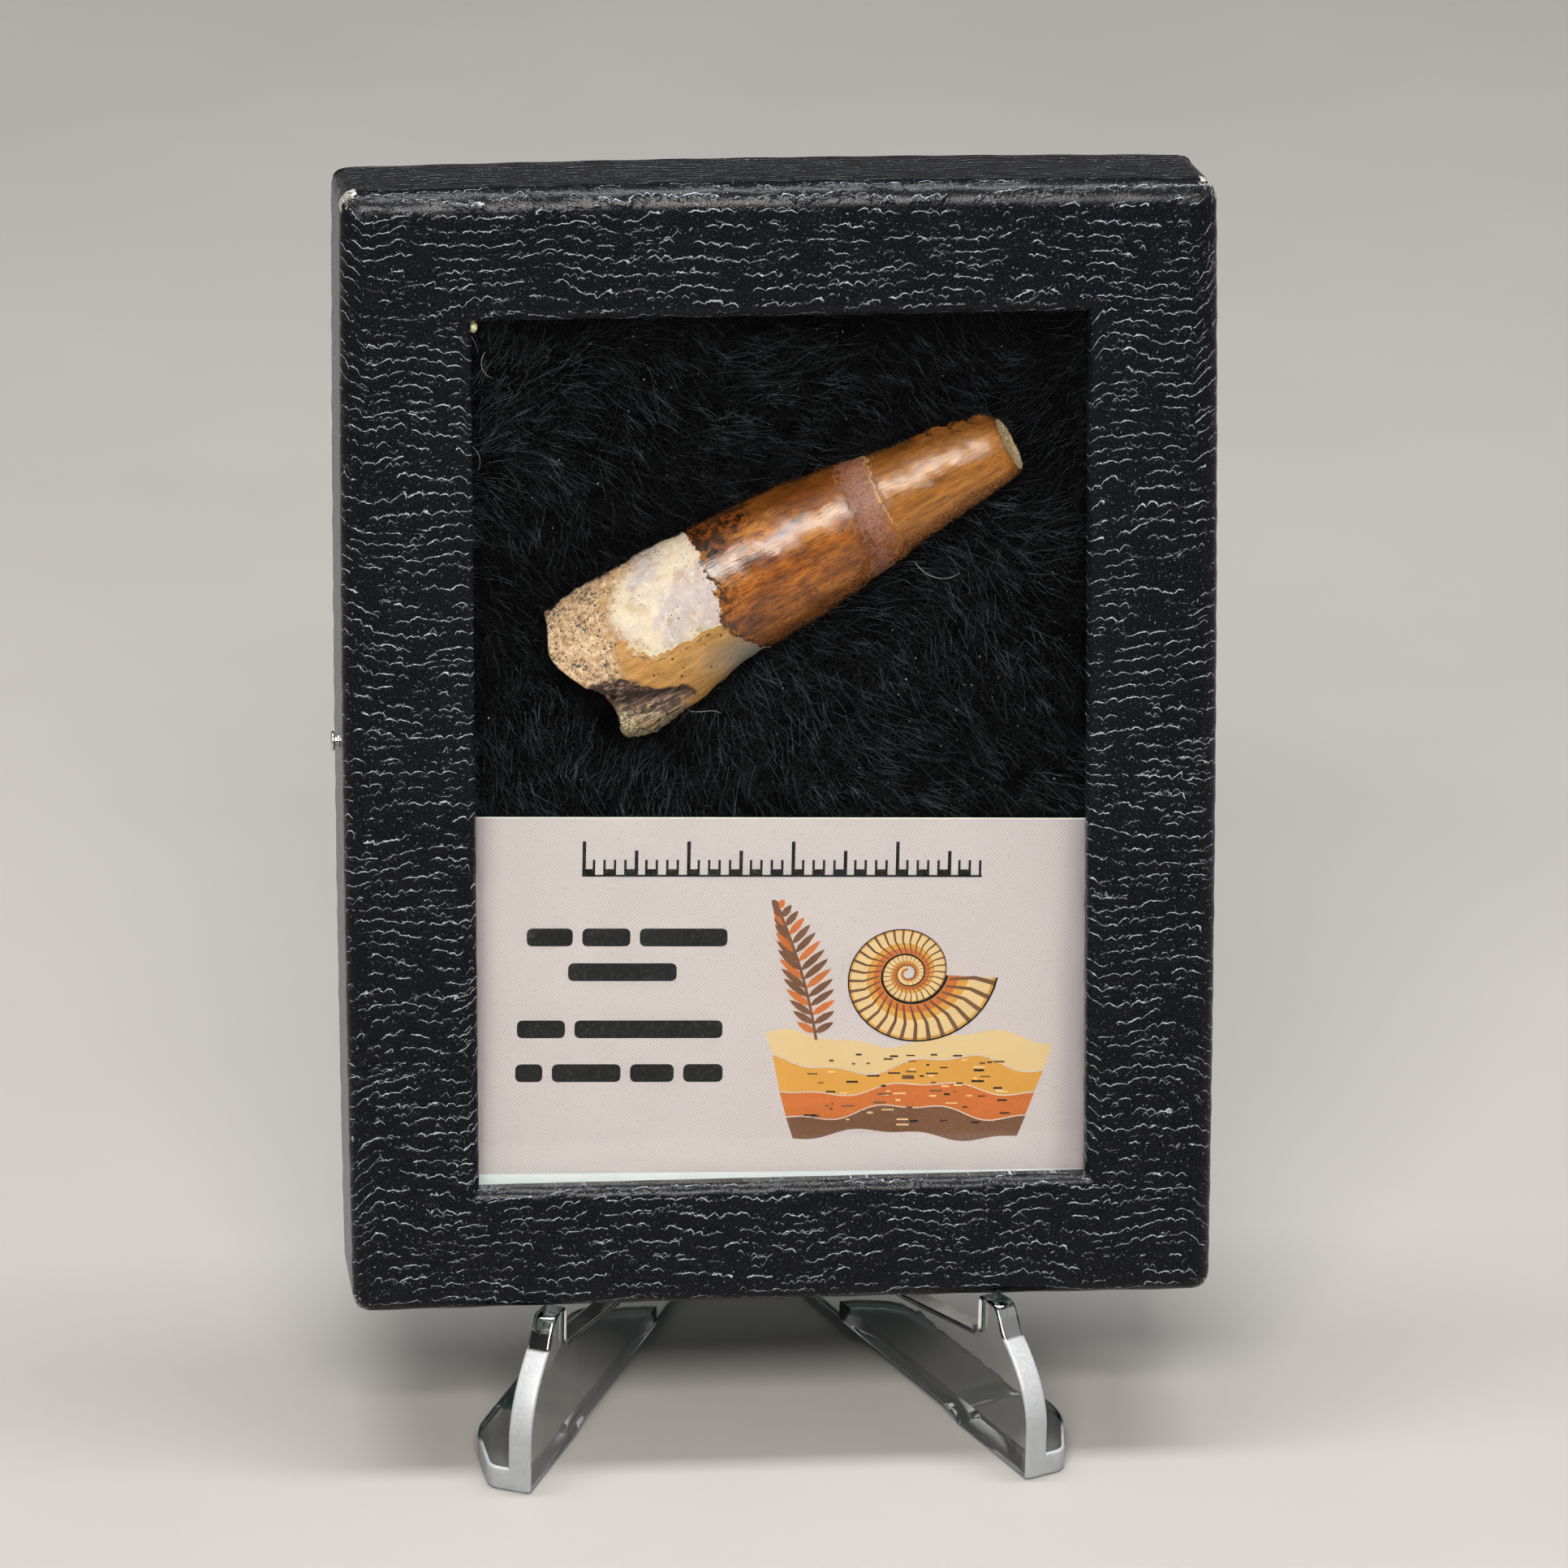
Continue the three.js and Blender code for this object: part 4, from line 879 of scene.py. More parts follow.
amber = coated(
    tree, amber,
    ((SPREAD, fine_lines, 0.54, 0.59, 0.0, 0.8), "#401e0b"),
    ((SPREAD, smudge, 0.58, 0.66, 0.0, 0.75), "#4a3218"),
    ((SPREAD, along, 33.5, 35.5), golden),
    ((TIMES, high, 0.72), "#4a250e"),
    ((TIMES, low, 0.9), "#4a2410"),
    ((TIMES, (EASED, inside["crown"], 2.6, 0.2), (EASED, grains, 0.45, 0.54)), "#40200f"),
    ((TIMES, crust, (SPREAD, along, 26.0, 33.0, 0.35, 0.9)), crust_tint),
    ((TIMES, edge_of("rust", 1.6, 0.4), (SPREAD, grains, 0.44, 0.54, 0.0, 0.85)), "#2d150b"),
)

# the plaster in the break, worn away low on the tooth, and the line of glue at its edge
plaster = coated(tree, "#653325", ((SPREAD, sand, 0.38, 0.66), "#a66c55"),
                 ((SPREAD, grains, 0.55, 0.7, 0.0, 0.6), "#8c5f5c"))
worn = add(tree, EASED, [up, 0.5, -3.0, 0.0, 1.1])
filled = add(tree, EASED, [(MINUS, frayed("repair", 5.5), worn), -0.6, 0.8, 0.0, 0.92])
near_repair = add(tree, SPREAD, [(SIZE_OF, frayed("repair", 0.7)), 0.12, 0.03, 0.0, 0.7])
glue_line = add(tree, TIMES, [(TIMES, near_repair, (SPREAD, along, 33.4, 33.9)), (SPREAD, up, -2.0, -0.8)])

# broken faces: the dark hollow, whose near-black tint is partly painted shade, the pale splinter below it,
# and the tip
splintered = add(tree, TIMES_PLUS, [streaks, 0.7, (TIMES, grains, 0.3)])
ridges = add(tree, NOISE, {"Vector": (STRETCH, place, (0.16, 1.0, 1.0)), "Scale": 1.5, "Detail": 2.0})
ridges = add(tree, SPREAD, [(SIZE_OF, (PLUS, ridges, -0.5)), 0.035, 0.0, 0.0, 0.7])
# the hollow's own dark brown, with the recess's shade painted into it as near black
hollow_tint_and_shade = coated(tree, "#1a0e0d", ((SPREAD, splintered, 0.42, 0.66), "#6a463c"), (ridges, "#b48f7a"))
torn = add(tree, EASED, [(TIMES_PLUS, fray, 1.8, (PLUS, inside["hollow"], 0.55)), -0.3, 0.3])
crumbly = add(tree, SPREAD, [(TIMES_PLUS, fray, 6.0, along), 4.2, 3.0, 0.0, 0.85])
crumbs = add(tree, TINT, [(SPREAD, sand, 0.46, 0.58), "#6b553d", "#e2cfa8"])
chip = coated(tree, "#4d382b", ((SPREAD, splintered, 0.42, 0.6), "#b08c68"), (ridges, "#ead5ad"),
              (crumbly, crumbs))
tip_face = coated(tree, "#d8ae7f", ((SPREAD, grains, 0.4, 0.62), "#f3dcb8"), (specks, "#5d4630"))

tooth_tint = coated(
    tree, root_tint,
    (edge_of("crown", 1.7, 0.05), amber),
    (filled, plaster),
    (glue_line, "#c99a63"),
    (edge_of("splinter", 0.8, 0.3), chip),
    (torn, hollow_tint_and_shade),
    (inside["broken_tip"], tip_face),
)

# %% Its gloss and fine relief
enamel = add(tree, MINUS, [edge_of("crown", 1.7, 0.05), filled], use_clamp=True)
enamel = add(tree, MINUS, [enamel, inside["broken_tip"]], use_clamp=True)
gloss = add(tree, SPREAD, [smudge, 0.3, 0.75, 0.17, 0.27])
polish = add(tree, MIX, [enamel, (MIX, filled, 0.74, 0.42), gloss])
groove_place = add(tree, JOIN, [(TIMES, along, 0.07), girth])
grooves = add(tree, NOISE, {"Vector": groove_place, "Scale": 4.6, "Detail": 3.0, "Roughness": 0.65})
hairlines = add(tree, NOISE, {"Vector": groove_place, "Scale": 9.0, "Detail": 1.0})
grooves = add(tree, TIMES_PLUS, [hairlines, 0.5, grooves])
height = add(tree, MIX, [enamel, (MINUS, sand, dots), grooves])
normal = add(tree, BUMP, {"Height": height, "Strength": (MIX, enamel, 0.9, 0.22), "Distance": 0.12 * MM})
feed(tree, surface, {"Base Color": tooth_tint, "Roughness": polish, "Normal": normal, "IOR": 1.6})

x_box = ROOT_X + shaped[..., 0] * math.cos(RISE) - shaped[..., 1] * math.sin(RISE)
z_box = ROOT_Z + shaped[..., 0] * math.sin(RISE) + shaped[..., 1] * math.cos(RISE)
tooth = make_object("fossil_tooth", in_box(x_box, shaped[..., 2], z_box),
                    grid_faces(*s.shape, around=True, capped=True), [fossil])
front = np.abs(turn) < 115
store(tooth, tooth_place=shaped, crown=crown, girth=angle * 6.0, side=np.sin(angle), broken_tip=at_tip,
            sandstone=np.where(at_root > 0, 2.0, region["sandstone"]), veneer=region["veneer"],
            repair=region["repair"], rust=region["rust"],
            hollow=np.where(front, region["hollow"], -3), splinter=np.where(front, region["splinter"], -3))
belongs(tooth, "fossil_enamel_and_root", "tooth")


# %% [markdown]
# ## The wadding
# The tooth lies on black polyester wadding, which swells towards the glass above, sinks round the
# tooth, and is pressed flat under the card. A stuffed pad could be simulated, but this one is
# held on every side and never shows a free edge, so its face is moulded directly: a fine grid
# of depths with soft hollows, joined to plain sides and a back. Its look comes from fibres.

# %% The pad
FREE_HIGH, FREE_LOW = 6.3, 10.2  # the face's depth far from the tooth, and right beside it
PAD_SIDE, PAD_LOW, PAD_HIGH, PAD_BACK = 38.1, 3.2, 104.8, 17.3


def along_tooth(x, z):
    """A place on the box as (s, t) on the tooth."""
    over, above = x - ROOT_X, z - ROOT_Z
    c, n = math.cos(RISE), math.sin(RISE)
    return over * c + above * n, -over * n + above * c


def wadding_depth(x, z):
    """How deep the wadding's face lies behind the box's face, in mm."""
    s, across = along_tooth(x, z)
    inside = np.clip(s, 0, TOOTH_LENGTH)
    from_axis = np.abs(across - curve_through(CENTRE, inside))
    half = curve_through(HALF_WIDTH, inside)
    distance = np.hypot(np.maximum(from_axis - half, 0), s - inside)
    reach = np.where(across > 0, 9.75, 6.5)
    swell = 0.35 * np.sin(0.21 * x + 0.13 * z) + 0.25 * np.sin(0.34 * z - 0.17 * x + 1)
    free = FREE_LOW + (FREE_HIGH + swell - FREE_LOW) * ramp(distance, 0, reach)
    under = np.sqrt(np.clip(1 - (from_axis / half) ** 2, 0, 1))
    bed = curve_through(AXIS_DEPTH, inside) + curve_through(HALF_DEPTH, inside) * under + 0.6
    free = np.where((distance <= 0) & (bed > free), bed, free)
    pressed = CARD_FRONT + CARD_THICK + 0.3
    return pressed + (free - pressed) * ramp(z, CARD_TOP, CARD_TOP + 3.5)


pad_x, pad_z = np.meshgrid(np.linspace(-PAD_SIDE, PAD_SIDE, 140), np.linspace(PAD_LOW, PAD_HIGH, 186))
pad_depth = wadding_depth(pad_x, pad_z)
flat_places = np.stack([pad_x, pad_z, pad_z * 0], -1)
tufts = 0.32 * rough(flat_places, 0.35, 3, seed=3) + 0.16 * rough(flat_places, 1.3, 3, seed=4)
loose = ramp(pad_z, 48.5, 52.5)  # under the card the tufts are pressed flat
pad_depth = np.clip(pad_depth + (tufts + 0.1) * loose + 0.02, CARD_FRONT + 0.65, PAD_BACK - 0.1)

black_felt, tree, surface = new_material("black polyester wadding")
down = add(tree, NOISE, {"Vector": in_mm(tree), "Scale": 1.1, "Detail": 8.0, "Roughness": 0.75})
felt = add(tree, TINT, [(SPREAD, down, 0.4, 0.8), "#020203", "#08090b"])
relief = add(tree, BUMP, {"Height": down, "Strength": 0.8, "Distance": 0.3 * MM})
feed(tree, surface, {"Base Color": felt, "Roughness": 1.0, "Normal": relief, "IOR": 1.5,
                     "Specular IOR Level": 0.05})

rows, columns = pad_x.shape
pad_faces = grid_faces(rows, columns)
index = np.arange(rows * columns).reshape(rows, columns)
border = np.concatenate([index[0, :-1], index[:-1, -1], index[-1, :0:-1], index[:0:-1, 0]])
face_points = in_box(pad_x, pad_depth, pad_z).reshape(-1, 3)
rim_x, rim_z = pad_x.ravel()[border], pad_z.ravel()[border]
back_points = in_box(rim_x, PAD_BACK, rim_z)
count = len(border)
start = rows * columns
after = [(k + 1) % count for k in range(count)]
pad_faces += [(border[k], start + k, start + after[k], border[after[k]]) for k in range(count)]
pad_faces.append(tuple(range(start, start + count)))
pad = make_object("wadding_pad", np.concatenate([face_points, back_points]), pad_faces, [black_felt])
belongs(pad, "black_fibre", "batting")


# %% [markdown]
# ### Its fibres
# Wadding is a tangle of fine fibres, combed level above the tooth and downwards below it. Geometry
# Nodes scatters short lines over a copy of the pad's face, turns each by that combing, a slow
# swirl and a little chance, bends them all through one noise field, and gives them a three-sided
# section. Real fibres are some 0.03 mm thick, too fine for the picture, so these are 0.04 to 0.06.

# %% Fibres by Geometry Nodes
CHANCE = ("FunctionNodeRandomValue", {"data_type": "FLOAT"})
TURN = "FunctionNodeAxisAngleToRotation"
THEN_TURN = ("FunctionNodeRotateRotation", {"rotation_space": "LOCAL"})
GIVEN = {"Mesh": "Geometry", "Seed": "Int", "Material": "Material", "Strands per square metre": "Float",
         "Length": "Float", "Radius": "Float", "Bend": "Float", "Lift": "Float", "Spread": "Float"}


def fibre_tree():
    """Scatters bent strands over a mesh; what it is given is named in GIVEN."""
    tree = bpy.data.node_groups.new("scattered fibres", "GeometryNodeTree")
    for name, kind in GIVEN.items():
        tree.interface.new_socket(name, in_out="INPUT", socket_type="NodeSocket" + kind)
    tree.interface.new_socket("Mesh", in_out="OUTPUT", socket_type="NodeSocketGeometry")
    given = tree.nodes.new("NodeGroupInput").outputs
    seed, lift = given["Seed"], given["Lift"]
    scattered = add(tree, "GeometryNodeDistributePointsOnFaces",
                    {"Mesh": given["Mesh"], "Density": given["Strands per square metre"], "Seed": seed})

    # combed by height, swirled by noise and turned a little more by chance
    where = add(tree, "GeometryNodeInputPosition")
    height = add(tree, SPLIT, [where], out="Z")
    combed = add(tree, EASED, [height, 68 * MM, 104 * MM, -4.1, -2.7])
    swirl = add(tree, NOISE, {"Vector": where, "Scale": 42.0, "Detail": 1.0}, out=0)
    swirl = add(tree, TIMES_PLUS, [swirl, 5.8, combed])
    chance = add(tree, CHANCE, {"Min": -1.0, "Max": 1.0, "Seed": seed})
    swirl = add(tree, TIMES_PLUS, [chance, given["Spread"], swirl])
    tilt = add(tree, CHANCE, {"Min": -0.16, "Max": 0.16, "Seed": (PLUS, seed, 70.0)})
    spin = add(tree, THEN_TURN, [(TURN, {"Axis": (0.0, 0.0, 1.0), "Angle": swirl}),
                                 (TURN, {"Axis": (0.0, 1.0, 0.0), "Angle": tilt})])
    upright = add(tree, "FunctionNodeAlignRotationToVector", {"Vector": scattered.node.outputs["Normal"]},
                  axis="Z")

    # a line of four points for each strand, bent by one field of noise
    line = add(tree, "GeometryNodeCurvePrimitiveLine", {"Start": (-0.5, 0.0, 0.0), "End": (0.5, 0.0, 0.0)})
    line = add(tree, "GeometryNodeResampleCurve", {"Curve": line, "Count": 4})
    long = add(tree, CHANCE, {"Min": 0.5, "Max": 1.4, "Seed": (PLUS, seed, 30.0)})
    strands = add(tree, "GeometryNodeInstanceOnPoints",
                  {"Points": scattered, "Instance": line, "Rotation": (THEN_TURN, upright, spin),
                   "Scale": (TIMES, long, given["Length"])})
    strands = add(tree, "GeometryNodeRealizeInstances", {"Geometry": strands})
    bend = add(tree, NOISE, {"Vector": where, "Scale": 330.0, "Detail": 1.0}, out=1)
    bend = add(tree, ENLARGE, [(UNSHIFT, bend, (0.5, 0.5, 0.5)), given["Bend"]])
    strands = add(tree, "GeometryNodeSetPosition", {"Geometry": strands, "Offset": bend})
    lifted = add(tree, JOIN, {"Y": (TIMES, lift, -math.cos(LEAN)), "Z": (TIMES, lift, math.sin(LEAN))})
    strands = add(tree, "GeometryNodeSetPosition", {"Geometry": strands, "Offset": lifted})

    # a three-sided section along each
    section = add(tree, "GeometryNodeCurvePrimitiveCircle", {"Resolution": 3, "Radius": given["Radius"]})
    hair = add(tree, "GeometryNodeCurveToMesh",
               {"Curve": strands, "Profile Curve": section, "Fill Caps": True})
    hair = add(tree, "GeometryNodeRealizeInstances", {"Geometry": hair})
    hair = add(tree, "GeometryNodeSetMaterial", {"Geometry": hair, "Material": given["Material"]})
    feed(tree, tree.nodes.new("NodeGroupOutput"), {"Mesh": hair})
    return tree


def grown(name, ground, tree, **inputs):
    """Runs a Geometry Nodes tree on a copy of ground and returns the result as a plain mesh object."""
    carrier = placed(name + "_carrier", ground.copy())
    modifier = carrier.modifiers.new("grow", "NODES")
    modifier.node_group = tree
    for item in tree.interface.items_tree:
        wanted = item.name.replace(" ", "_").lower()
        if item.in_out == "INPUT" and wanted in inputs:
            modifier[item.identifier] = inputs[wanted]
    shown = carrier.evaluated_get(bpy.context.evaluated_depsgraph_get())
    mesh = bpy.data.meshes.new_from_object(shown)
    bpy.data.objects.remove(carrier)
    print(name, "triangles", sum(len(p.vertices) - 2 for p in mesh.polygons))
    return placed(name, mesh)


# polyester strands: black ones, and grey and pale ones among them whose lighter colour is painted sheen
black_strands, grey_sheen_strands, pale_sheen_strands = [
    mottled(name, dark, light, 0.5, 3.0, (0.35, 0.7), Roughness=0.4, IOR=1.54, Specular_IOR_Level=shine)
    for name, dark, light, shine in (
        ("black polyester fibre", "#010102", "#040405", 0.04),
        ("grey polyester fibre for painted sheen", "#07080a", "#20232a", 0.16),
        ("pale polyester fibre for painted sheen", "#1a1d23", "#666d7a", 0.4),
    )
]

# the face that the fibres grow on: what the window shows of the pad, less the tooth's bed
seen = np.array(pad_faces[:(rows - 1) * (columns - 1)])
mid = np.stack([pad_x.ravel()[seen].mean(1), pad_z.ravel()[seen].mean(1)], -1)
mid_s, mid_t = along_tooth(mid[:, 0], mid[:, 1])
mid_in = np.clip(mid_s, 0, TOOTH_LENGTH)
beside = np.abs(mid_t - curve_through(CENTRE, mid_in)) > curve_through(HALF_WIDTH, mid_in) - 0.7
beside |= (mid_s < 1.5) | (mid_s > TOOTH_LENGTH - 0.5)
keep = (np.abs(mid[:, 0]) < 31.5) & (mid[:, 1] > 46.5) & (mid[:, 1] < 98.5) & beside
ground = bpy.data.meshes.new("fibre ground")
ground.from_pydata(face_points.tolist(), [], seen[keep].tolist())
strands_tree = fibre_tree()
STRANDS = (  # material; strands per square metre; radius, bend and lift in mm; spread in radians
    (black_strands, 2.6e6, 0.028, 0.95, 0.1, 0.75),
    (black_strands, 2.6e6, 0.028, 1.2, 0.1, 1.0),
    (black_strands, 2.6e6, 0.028, 1.45, 0.1, 1.25),
    (grey_sheen_strands, 2.6e6, 0.02, 1.7, 0.22, 1.5),
    (pale_sheen_strands, 0.9e6, 0.02, 0.9, 0.3, 0.45),
)
for number, (material, many, radius, bend, lift, spread) in enumerate(STRANDS, 1):
    fibres = grown(f"wadding_fibres_{number}", ground, strands_tree, seed=number, material=material,
                   strands_per_square_metre=many, length=2.7 * MM, radius=radius * MM, bend=bend * MM,
                   lift=lift * MM, spread=spread)
    # strands that reach the card are tucked behind it
    places = np.empty(3 * len(fibres.data.vertices))
    fibres.data.vertices.foreach_get("co", places)
    x, y, z = (places.reshape(-1, 3) / MM - (0, FRONT_Y, FRONT_Z)).T
    depth, height = y * math.cos(LEAN) - z * math.sin(LEAN), y * math.sin(LEAN) + z * math.cos(LEAN)
    depth = np.where(height < 48.3, np.maximum(depth, CARD_FRONT + 0.42), depth)
    fibres.data.vertices.foreach_set("co", in_box(x, np.maximum(depth, GLASS_BACK + 0.1), height).ravel())
    belongs(fibres, "black_fibre")


# %% [markdown]
# ## The card
# A printed card lies behind the glass below the tooth. It is pale card stock with a fine
# diagonal screen from the printer, a bright cut edge on top, and a strip of bare paper at the
# bottom where the print missed. Its words and picture are not carried over: a scale in whole
# millimetres stands for the heading, word-long bars for the lines, and a coiled shell over
# layers of rock for the picture. Everything printed is a thin raised shape, cut as a polygon.

# %% Card stock
CARD_WIDE, CARD_TALL, CARD_LEFT = 63.0, 38.2, -31.5
CARD_TURN = math.radians(-1.37)


def on_card(across, down, depth):
    """Millimetres from the card's upper left corner to the room."""
    x = CARD_LEFT + across * math.cos(CARD_TURN) + down * math.sin(CARD_TURN)
    z = CARD_TOP + across * math.sin(CARD_TURN) - down * math.cos(CARD_TURN)
    return in_box(x, depth, z)


SCREEN_PITCH = 0.36  # mm from one line of the printer's screen to the next, along the card
stock, tree, surface = new_material("printed card stock")
place = add(tree, VALUE_OF, out="Vector", attribute_name="card_place")
across = add(tree, SPLIT, [place], out="X")
down = across.node.outputs["Y"]
waves = [add(tree, SINE, [(TIMES, (way, across, down), 2 * math.pi / SCREEN_PITCH)])
         for way in (PLUS, MINUS)]
screen = add(tree, SPREAD, [(LEAST, *waves), -1.0, 0.1])
mist = add(tree, NOISE, {"Vector": place, "Scale": 0.09, "Detail": 3.0})
speck = add(tree, NOISE, {"Vector": place, "Scale": 4.0, "Detail": 2.0})
from_middle = add(tree, SIZE_OF, [(MINUS, across, CARD_WIDE / 2)])
print_end = add(tree, TIMES_PLUS, [across, -0.0075, 34.95])  # the print ends a little askew
card_tint = coated(
    tree, "#bfafb0",
    (screen, "#dccfd0"),
    ((SPREAD, mist, 0.4, 0.7, 0.0, 0.4), "#d2c4c5"),
    ((SPREAD, speck, 0.6, 0.75, 0.0, 0.5), "#a5978f"),
    ((EASED, from_middle, 26.2, 29.2, 0.0, 0.5), "#8f8188"),  # the frame's shade
    ((SPREAD, (MINUS, down, print_end), -0.04, 0.04), "#f3f5f8"),  # bare card below the print
    ((SPREAD, down, 0.12, 0.05), "#efe9e4"),  # the cut edge
)
feed(tree, surface, {"Base Color": card_tint, "Roughness": 0.6, "IOR": 1.5})

card_rings = []
for inset, depth in ((0.06, CARD_FRONT), (0.0, CARD_FRONT + 0.06), (0.0, CARD_FRONT + CARD_THICK - 0.06),
                     (0.06, CARD_FRONT + CARD_THICK)):
    run_x = np.linspace(inset, CARD_WIDE - inset, 64)
    run_y = np.linspace(inset, CARD_TALL - inset, 40)
    walk_a, walk_d = border_walk(run_x, run_y)
    card_rings.append(np.stack([walk_a, walk_d, np.full_like(walk_a, depth)], -1))
card_rings = np.array(card_rings)
card = make_object("label_card_stock", on_card(*np.moveaxis(card_rings, -1, 0)),
                   grid_faces(*card_rings.shape[:2], around=True, capped=True), [stock])
store(card, card_place=card_rings)
sharpen(card, 25)
belongs(card, "printed_card", "label_card")

# %% What is printed on it
INKS = {"dark ink": "#0d0b0e", "brown ink": "#6b4630", "ochre ink": "#c98f3e",
        "orange ink": "#b9622a", "sand ink": "#d9b98a"}
ink_materials = [
    mottled("printed " + name, code, "#b8aaa2", 3.2, 3.0, (0.5, 0.8, 0.0, 0.1), Roughness=0.5, IOR=1.5,
            Specular_IOR_Level=0.25)
    for name, code in INKS.items()
]
DARK, BROWN, OCHRE, ORANGE, SAND = range(5)

print_points, print_faces, print_inks = [], [], []


def stamp(outline, ink, layer=1):
    """Adds a flat printed shape, given as (across, down) points, a few hundredths of a mm high."""
    outline = np.array(outline, float)
    top = CARD_FRONT - 0.012 * layer
    first = sum(len(p) for p in print_points)
    count = len(outline)
    for depth in (top, CARD_FRONT + 0.03):
        print_points.append(on_card(outline[:, 0], outline[:, 1], depth))
    print_faces.append(tuple(range(first, first + count)))
    print_faces.append(tuple(range(first + 2 * count - 1, first + count - 1, -1)))
    after = [(k + 1) % count for k in range(count)]
    print_faces.extend((first + k, first + count + k, first + count + after[k], first + after[k])
                       for k in range(count))
    print_inks.extend([ink] * (count + 2))


def bar(left, top, wide, tall, ink, layer=1, corner=0.0):
    """A printed rectangle with round corners."""
    corner = min(corner, wide / 2, tall / 2)
    middles = ((left + wide - corner, top + corner), (left + wide - corner, top + tall - corner),
               (left + corner, top + tall - corner), (left + corner, top + corner))
    outline = []
    for (cx, cy), start in zip(middles, (-90, 0, 90, 180)):
        for k in range(4 if corner else 1):
            turn = math.radians(start + 30 * k)
            outline.append((cx + corner * math.cos(turn), cy + corner * math.sin(turn)))
    stamp(outline, ink, layer)


# a scale of whole millimetres where the heading was
SCALE_LEFT, SCALE_FOOT, SCALE_LONG = 12.9, 5.6, 38
for tick in range(SCALE_LONG + 1):
    tall = 3.3 if tick % 10 == 0 else 2.4 if tick % 5 == 0 else 1.5
    bar(SCALE_LEFT + tick - 0.12, SCALE_FOOT - tall, 0.24 if tick % 5 else 0.34, tall, DARK)
for block in range(0, SCALE_LONG, 2):
    bar(SCALE_LEFT + block, SCALE_FOOT - 0.6, 1.0, 0.62, DARK, 2)
bar(SCALE_LEFT - 0.12, SCALE_FOOT - 0.05, SCALE_LONG + 0.3, 0.2, DARK, 2)
# bars for four short lines
WORD_TALL, WORD_GAP = 1.75, 0.9
WORDS = ((7.6, 10.8, (4.4, 4.6, 8.4)), (11.6, 14.2, (10.4,)), (6.8, 19.8, (4.6, 14.2)),
         (6.7, 24.1, (2.6, 6.6, 4.2, 3.8)))  # left, top, and the width of each word
for left, top, widths in WORDS:
    for wide in widths:
        bar(left, top, wide, WORD_TALL, DARK, 1, 0.5)
        left += wide + WORD_GAP


# %% [markdown]
# The picture is made of the same kind of shapes: four wavy layers of rock, a shell whose coil
# widens by the same share with every turn, and a fern frond.

# %% A coiled shell and a fern over layers of rock
def wave(a, level, size, phase):
    return level + size * math.sin(0.33 * a + phase) + 0.4 * size * math.sin(0.9 * a + 2 * phase)


ROCK_TOP = 21.6
LAYERS = [(ROCK_TOP, 0.7, 0.3, SAND), (24.2, 0.8, 1.1, OCHRE), (26.6, 0.6, 2.0, ORANGE),
          (28.9, 0.7, 2.6, BROWN), (31.2, 0.5, 3.6, None)]  # level, wave's size, its phase, ink


def across_rock(level):
    """Places from the left to the right end of a layer; lower ones are shorter."""
    return np.linspace(30.6 + 0.3 * (level - ROCK_TOP), 58.4 - 0.34 * (level - ROCK_TOP), 30)


for (*top, ink), (*foot, _) in zip(LAYERS, LAYERS[1:]):
    stamp([(a, wave(a, *top)) for a in across_rock(top[0])]
          + [(a, wave(a, *foot) - 0.12) for a in across_rock(foot[0])[::-1]], ink)
draw = random.Random(11)
for _ in range(90):
    a, d = draw.uniform(34.5, 53.5), draw.uniform(23, 30)
    bar(a, d, draw.uniform(0.3, 1.3), draw.uniform(0.12, 0.22), draw.choice((DARK, BROWN, SAND)), 3, 0.08)

SHELL = (44.2, 15.2)  # its middle on the card


def coil(turn, edge):
    """A point of the coil: edge 0 on the inner whorl's line, 1 on the outer."""
    outer, inner_line = (0.62 * math.exp(0.137 * (turn - back)) for back in (0, 2 * math.pi))
    radius = inner_line + (outer - inner_line) * edge
    return SHELL[0] + radius * math.cos(-turn + 0.5), SHELL[1] + radius * math.sin(-turn + 0.5) * 0.94


def coil_band(ink, low, high, layer):
    """A band along the whole coil, between two of its edges, in short pieces."""
    steps = np.linspace(2, 19.3, 130)
    for a, b in zip(steps[:-1], steps[1:]):
        stamp([coil(a, low), coil(a, high), coil(b, high), coil(b, low)], ink, layer)


for band in ((OCHRE, 0.02, 0.98, 1), (SAND, 0.45, 0.9, 2), (ORANGE, 0.06, 0.26, 2)):
    coil_band(*band)
for k in range(64):
    turn = 5.2 + 14.0 * (k / 63) ** 0.85
    thick = 0.018 + 0.012 * (k / 63)
    near, far = turn - thick, turn + thick
    stamp([coil(near, 0.08), coil(near + 0.08, 0.55), coil(near + 0.03, 0.97),
           coil(far + 0.03, 0.97), coil(far + 0.08, 0.55), coil(far, 0.08)], BROWN, 3)
coil_band(DARK, 0.0, 0.05, 4)
coil_band(DARK, 0.96, 1.0, 4)


# a fern frond beside the shell
def along_stem(share):
    return 35.4 - 2.2 * share - 1.6 * share * share, 21.0 - 12.2 * share


